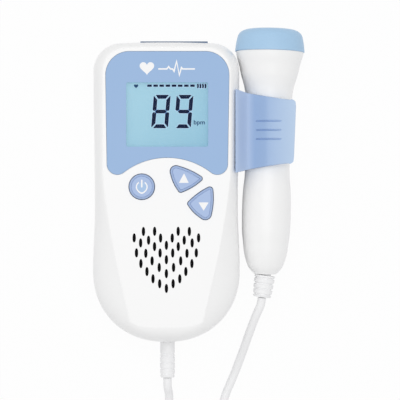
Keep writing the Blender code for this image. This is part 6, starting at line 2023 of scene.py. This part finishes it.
@dataclass
class Probe:
    """The probe in its own frame, with Z from its foot to its cap."""

    length: float = 99.6
    grip: float = 11.0
    wall: float = 1.8
    profile: tuple[Point, ...] = (
        (1.0, 1.382), (0.973, 1.327), (0.946, 1.25), (0.919, 1.195), (0.892, 1.14),
        (0.869, 1.075), (0.829, 0.985), (0.77, 0.945), (0.648, 0.912), (0.463, 0.912),
        (0.382, 0.973), (0.301, 1.0), (0.22, 0.991), (0.179, 0.973), (0.138, 0.927),
        (0.098, 0.882), (0.057, 0.791), (0.026, 0.664), (0.0, 0.455),
    )
    cap_radius: float = 15.602
    cap_height: float = 10.25
    cap_wall: float = 1.6
    cap_shares: tuple[Point, ...] = (
        (0.5, 0.0), (0.68, 0.03), (0.79, 0.085), (0.865, 0.165), (0.915, 0.27),
        (0.945, 0.42), (0.98, 0.7), (1.0, 1.0),
    )
    spigot: float = 3.5
    sides: int = 96

    def outer(self) -> list[Point]:
        """The body's outside as (radius, height), from its cap down to its foot."""
        points = [(radius * self.grip, height * self.length) for height, radius in self.profile]
        return smooth_curve(points, 4)

    def shells(self, coat: bpy.types.Material) -> None:
        """Turns the body and splits it into its front and rear shells."""
        spigot_radius = self.cap_radius - self.cap_wall - FIT
        spigot_high = self.length + self.spigot
        outer = self.outer()
        inner = [
            (max(3.0, radius - self.wall), height)
            for radius, height in reversed(outer[::4])
            if self.wall < height < self.length - self.wall
        ]
        profile = [(spigot_radius - self.wall, spigot_high), (spigot_radius, spigot_high)]
        shoulder = self.length + FIT - 0.05
        profile += [(spigot_radius, shoulder), (outer[0][0] - 0.1, shoulder)]
        profile += [(outer[0][0], shoulder - 0.1), *outer[1:-1]]
        profile += [(outer[-1][0], 0.0), (3.0, 0.0), (3.0, self.wall), *inner]
        profile += [(spigot_radius - self.wall, self.length - self.wall)]
        for name, side in (("front", -1), ("rear", 1)):
            made = turned(f"probe_body_{name}", profile, self.sides, hollow=True)
            pick(made)
            bpy.ops.object.mode_set(mode="EDIT")
            bpy.ops.mesh.select_all(action="SELECT")
            bpy.ops.mesh.bisect(
                plane_co=(0, side * 0.06 * MM, 0),
                plane_no=(0, -side, 0),
                use_fill=True,
                clear_outer=True,
            )
            bpy.ops.object.mode_set(mode="OBJECT")
            settle(made, PROBE_PLACE)
            mount(polish(made), coat, "probe", "white_shell", f"probe_shell_{name}")

    def cap(self, coat: bpy.types.Material) -> None:
        """Turns the soft cap, hollow from below."""
        low = self.length + FIT
        high = low + self.cap_height
        points = [
            (share * self.cap_radius, high - (self.cap_height - 0.2) * down)
            for share, down in self.cap_shares
        ]
        outer = smooth_curve(points, 4)
        rim = [(self.cap_radius - 0.03, low + 0.08), (self.cap_radius - 0.14, low)]
        inner_radius = self.cap_radius - self.cap_wall
        roof = high - self.cap_wall
        inner = [(inner_radius, low), (inner_radius, roof - 4.6)]
        inner += [(inner_radius - 1.5, roof - 1.5), (inner_radius - 2.7, roof), (1.0, roof)]
        made = turned("probe_cap_soft", [(1.0, high), *outer, *rim, *inner], self.sides)
        mount(polish(settle(made, PROBE_PLACE)), coat, "probe", "cap_blue", "probe_cap")

    def relief(self, coat: bpy.types.Material) -> None:
        """Turns the ribbed strain relief, which leans a little."""
        top = -0.06 - 4.5 * math.sin(RELIEF_LEAN)
        profile = [(1.0, 6.0), (2.6, 6.0), (2.6, top), (4.5, top)]
        profile += ribbed(4.75, 4.1, top, -10.4, 4, 0.95, 0.6)
        profile += [(3.8, -10.4), (1.0, -10.4)]
        made = turned("probe_relief", profile, 48)
        mount(polish(settle(made, RELIEF_PLACE)), coat, "probe", "cord_white", "probe_strain_relief")


def ribbed(
    top: float, end: float, start: float, stop: float, count: int, width: float, depth: float
) -> list[Point]:
    """A tapering outline down its length, with soft grooves round it.

    Args:
        top: The radius where it starts.
        end: The radius where it ends.
        start: The height where it starts.
        stop: The height where it ends.
        count: How many grooves it has.
        width: A groove's width.
        depth: A groove's depth.

    Returns:
        The outline as (radius, height).
    """
    points = []
    pitch = (start - stop) / count
    dips = ((-0.5, 0.0), (-0.42, 0.35), (-0.25, 0.9), (0.0, 1.0), (0.25, 0.9), (0.42, 0.35), (0.5, 0.0))
    for index in range(count):
        middle = start - (index + 0.5) * pitch
        for across, dip in dips:
            height = middle - across * width
            radius = lerp(top, end, (start - height) / (start - stop))
            points.append((radius - dip * depth, height))
    return points


@dataclass
class Plug:
    """The plug at the unit's bottom end: a ribbed boot and a ringed pin."""

    front: float = -67.5
    boot_length: float = 16.3
    collar: float = 5.6
    radius: float = 3.3
    end_radius: float = 3.3
    pin_radius: float = 1.75
    pin_length: float = 12.6

    def place(self) -> Matrix:
        """From the plug's own frame, with Z towards the unit, to the unit's place."""
        here = Matrix.Translation(Vector((PLUG_X, self.front, PLUG_HEIGHT)) * MM)
        return UNIT_SHIFT @ here @ Matrix.Rotation(-math.pi / 2, 4, "X")

    def build(self, rubber: bpy.types.Material, metal: bpy.types.Material) -> list[bpy.types.Object]:
        """Makes the boot and the pin.

        Args:
            rubber: The boot's material.
            metal: The pin's material.

        Returns:
            The two pieces.
        """
        profile = [(0.5, 0.0), (self.radius - 0.5, 0.0), (self.radius - 0.15, -0.12)]
        profile += [(self.radius, -0.5), (self.radius, -self.collar + 0.4)]
        profile += [(self.radius - 0.3, -self.collar)]
        profile += ribbed(
            self.radius + 0.1, self.end_radius, -self.collar, -self.boot_length, 4, 0.8, 0.35
        )
        profile += [(self.end_radius - 0.3, -self.boot_length), (0.5, -self.boot_length)]
        boot = settle(turned("plug_boot_ribbed", profile, 48), self.place())
        mount(polish(boot), rubber, "probe_plug", "cord_white", "plug_boot")
        high = self.pin_length - 0.2
        pin = [
            (0.4, high), (0.8, high - 0.1), (1.35, high - 0.9), (1.5, high - 1.6), (1.2, high - 2.6),
            (self.pin_radius, high - 3.2),
        ]
        for down in (5.0, 8.6):
            ring = self.pin_radius - 0.12
            top = high - down
            pin += [(self.pin_radius, top), (ring, top - 0.05), (ring, top - 0.6)]
            pin.append((self.pin_radius, top - 0.65))
        pin += [(self.pin_radius, 0.1), (0.4, 0.1)]
        made = settle(turned("plug_pin_ringed", pin, 48), self.place())
        mount(polish(made), metal, "probe_plug", "bright_metal", "plug_pin")
        return [boot, made]


@dataclass
class Insides:
    """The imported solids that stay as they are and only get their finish."""

    plastics: dict[str, Colour] = field(
        default_factory=lambda: {
            "lcd_frame": (230, 230, 228),
            "transducer_holder": (226, 226, 224),
            "lcd_backlight": (228, 240, 246),
            "speaker_basket": (16, 16, 18),
            "control_chip": (34, 34, 36),
            "audio_chip": (34, 34, 36),
            "capacitor": (38, 40, 52),
            "headphone_jack": (30, 30, 32),
            "probe_socket": (30, 30, 32),
        }
    )

    def dress(self, node: str, coat: bpy.types.Material) -> None:
        """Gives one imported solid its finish."""
        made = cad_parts[node]
        made.data.materials.clear()
        made.data.materials.append(coat)

    def build(self) -> None:
        """Dresses the display's layers, the boards, the speaker, the cells and the screws."""
        for node, colour in self.plastics.items():
            self.dress(node, MouldedPlastic(node + "_plastic", colour, 0.5).make())
        metal = PlatedMetal("plated_parts").make()
        steel = PlatedMetal("screw_steel", (172, 173, 178), 0.3).make()
        board = CircuitLaminate().make()
        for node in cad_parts:
            if node.startswith(("case_screw", "board_screw", "clip_screw")):
                self.dress(node, steel)
            elif node in ("main_board", "socket_board", "probe_board"):
                self.dress(node, board)
            elif node.endswith("_switch") or node.startswith("contact") or node in (
                "quartz_crystal",
                "charging_socket",
                "speaker_magnet",
            ):
                self.dress(node, metal)
        self.dress("display_window", ClearWindow().make())
        self.dress("lcd_glass", DisplayGlass().make())
        self.dress("zebra_strip", SoftRubber("contact_strip", (196, 118, 128), 0.7).make())
        self.dress("speaker_cone", SoftRubber("cone_paper", (16, 16, 18), 0.9).make())
        self.dress("battery_left", CellWrap("cell_sleeve_left", 16.0).make())
        self.dress("battery_right", CellWrap("cell_sleeve_right", 16.0).make())
        ceramic = SoftRubber("piezo_ceramic", (222, 206, 180), 0.5).make()
        self.dress("transducer_left", ceramic)
        self.dress("transducer_right", ceramic)


def main() -> None:
    """Builds the scene, sub-assembly by sub-assembly."""
    logging.basicConfig(level=logging.INFO, format="%(name)s: %(message)s")
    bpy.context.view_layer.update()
    bpy.context.scene.view_settings.view_transform = "Standard"
    studio = Studio()
    studio.camera()
    studio.floor()
    studio.lights()
    white = MouldedPlastic("white_casing", (252, 252, 252), 0.3, clouding=0.99).make()
    rubber = SoftRubber("white_lead", (248, 248, 249), 0.45).make()
    pin_metal = PlatedMetal("plug_metal", (205, 203, 198), 0.2).make()
    blue = MouldedPlastic("blue_face", (151, 183, 223), 0.3, 0.004).make()
    clip_blue = ForkPlastic().make()
    key_blue = MouldedPlastic("blue_keys", (170, 192, 230), 0.34).make()
    cap_blue = SoftRubber("blue_cap", (170, 205, 235), 0.42).make()
    cover_blue = SoftRubber("grey_blue_cover", (98, 120, 150), 0.45).make()
    white_ink = Ink("white_print", (250, 250, 252)).make()
    # A little paler than the keys: painted glow inside the power ring.
    painted_key_glow = Ink("painted_key_glow", (172, 198, 230)).make()
    dark_ink = Ink("display_cells", (3, 20, 54), 0.5).make()
    grey_ink = Ink("display_small_cells", (36, 70, 112), 0.5).make()
    # Painted glow round the display's marks: pale and faintly lit.
    painted_glow = Ink("display_painted_glow", (176, 206, 232), 0.4, 0.2).make()
    Insides().build()
    plug_pieces = Plug().build(rubber, pin_metal)
    lead = Lead()
    lead.build(rubber, plug_pieces)
    lead.tie(rubber)
    face_plate = FacePlate()
    keypad = Keypad()
    casing = Casing()
    casing.front(white, keypad, face_plate.outline)
    # Black gauze behind the grille, which also lays painted shade in its slots.
    casing.gauze(Ink("grille_gauze_and_painted_shade", (4, 4, 5), 0.85).make())
    bay = BatteryBay()
    casing.back(white, bay)
    casing.cover(cover_blue)
    bay.door(white)
    face_plate.build(blue, white_ink)
    keypad.build(key_blue, white_ink, painted_key_glow)
    display = Display()
    display.print_marks(dark_ink, painted_glow)
    display.print_unit(grey_ink)
    Clip().build(clip_blue)
    probe = Probe()
    probe.shells(white)
    probe.cap(cap_blue)
    probe.relief(rubber)
    bpy.context.view_layer.update()


if __name__ == "__main__":
    main()
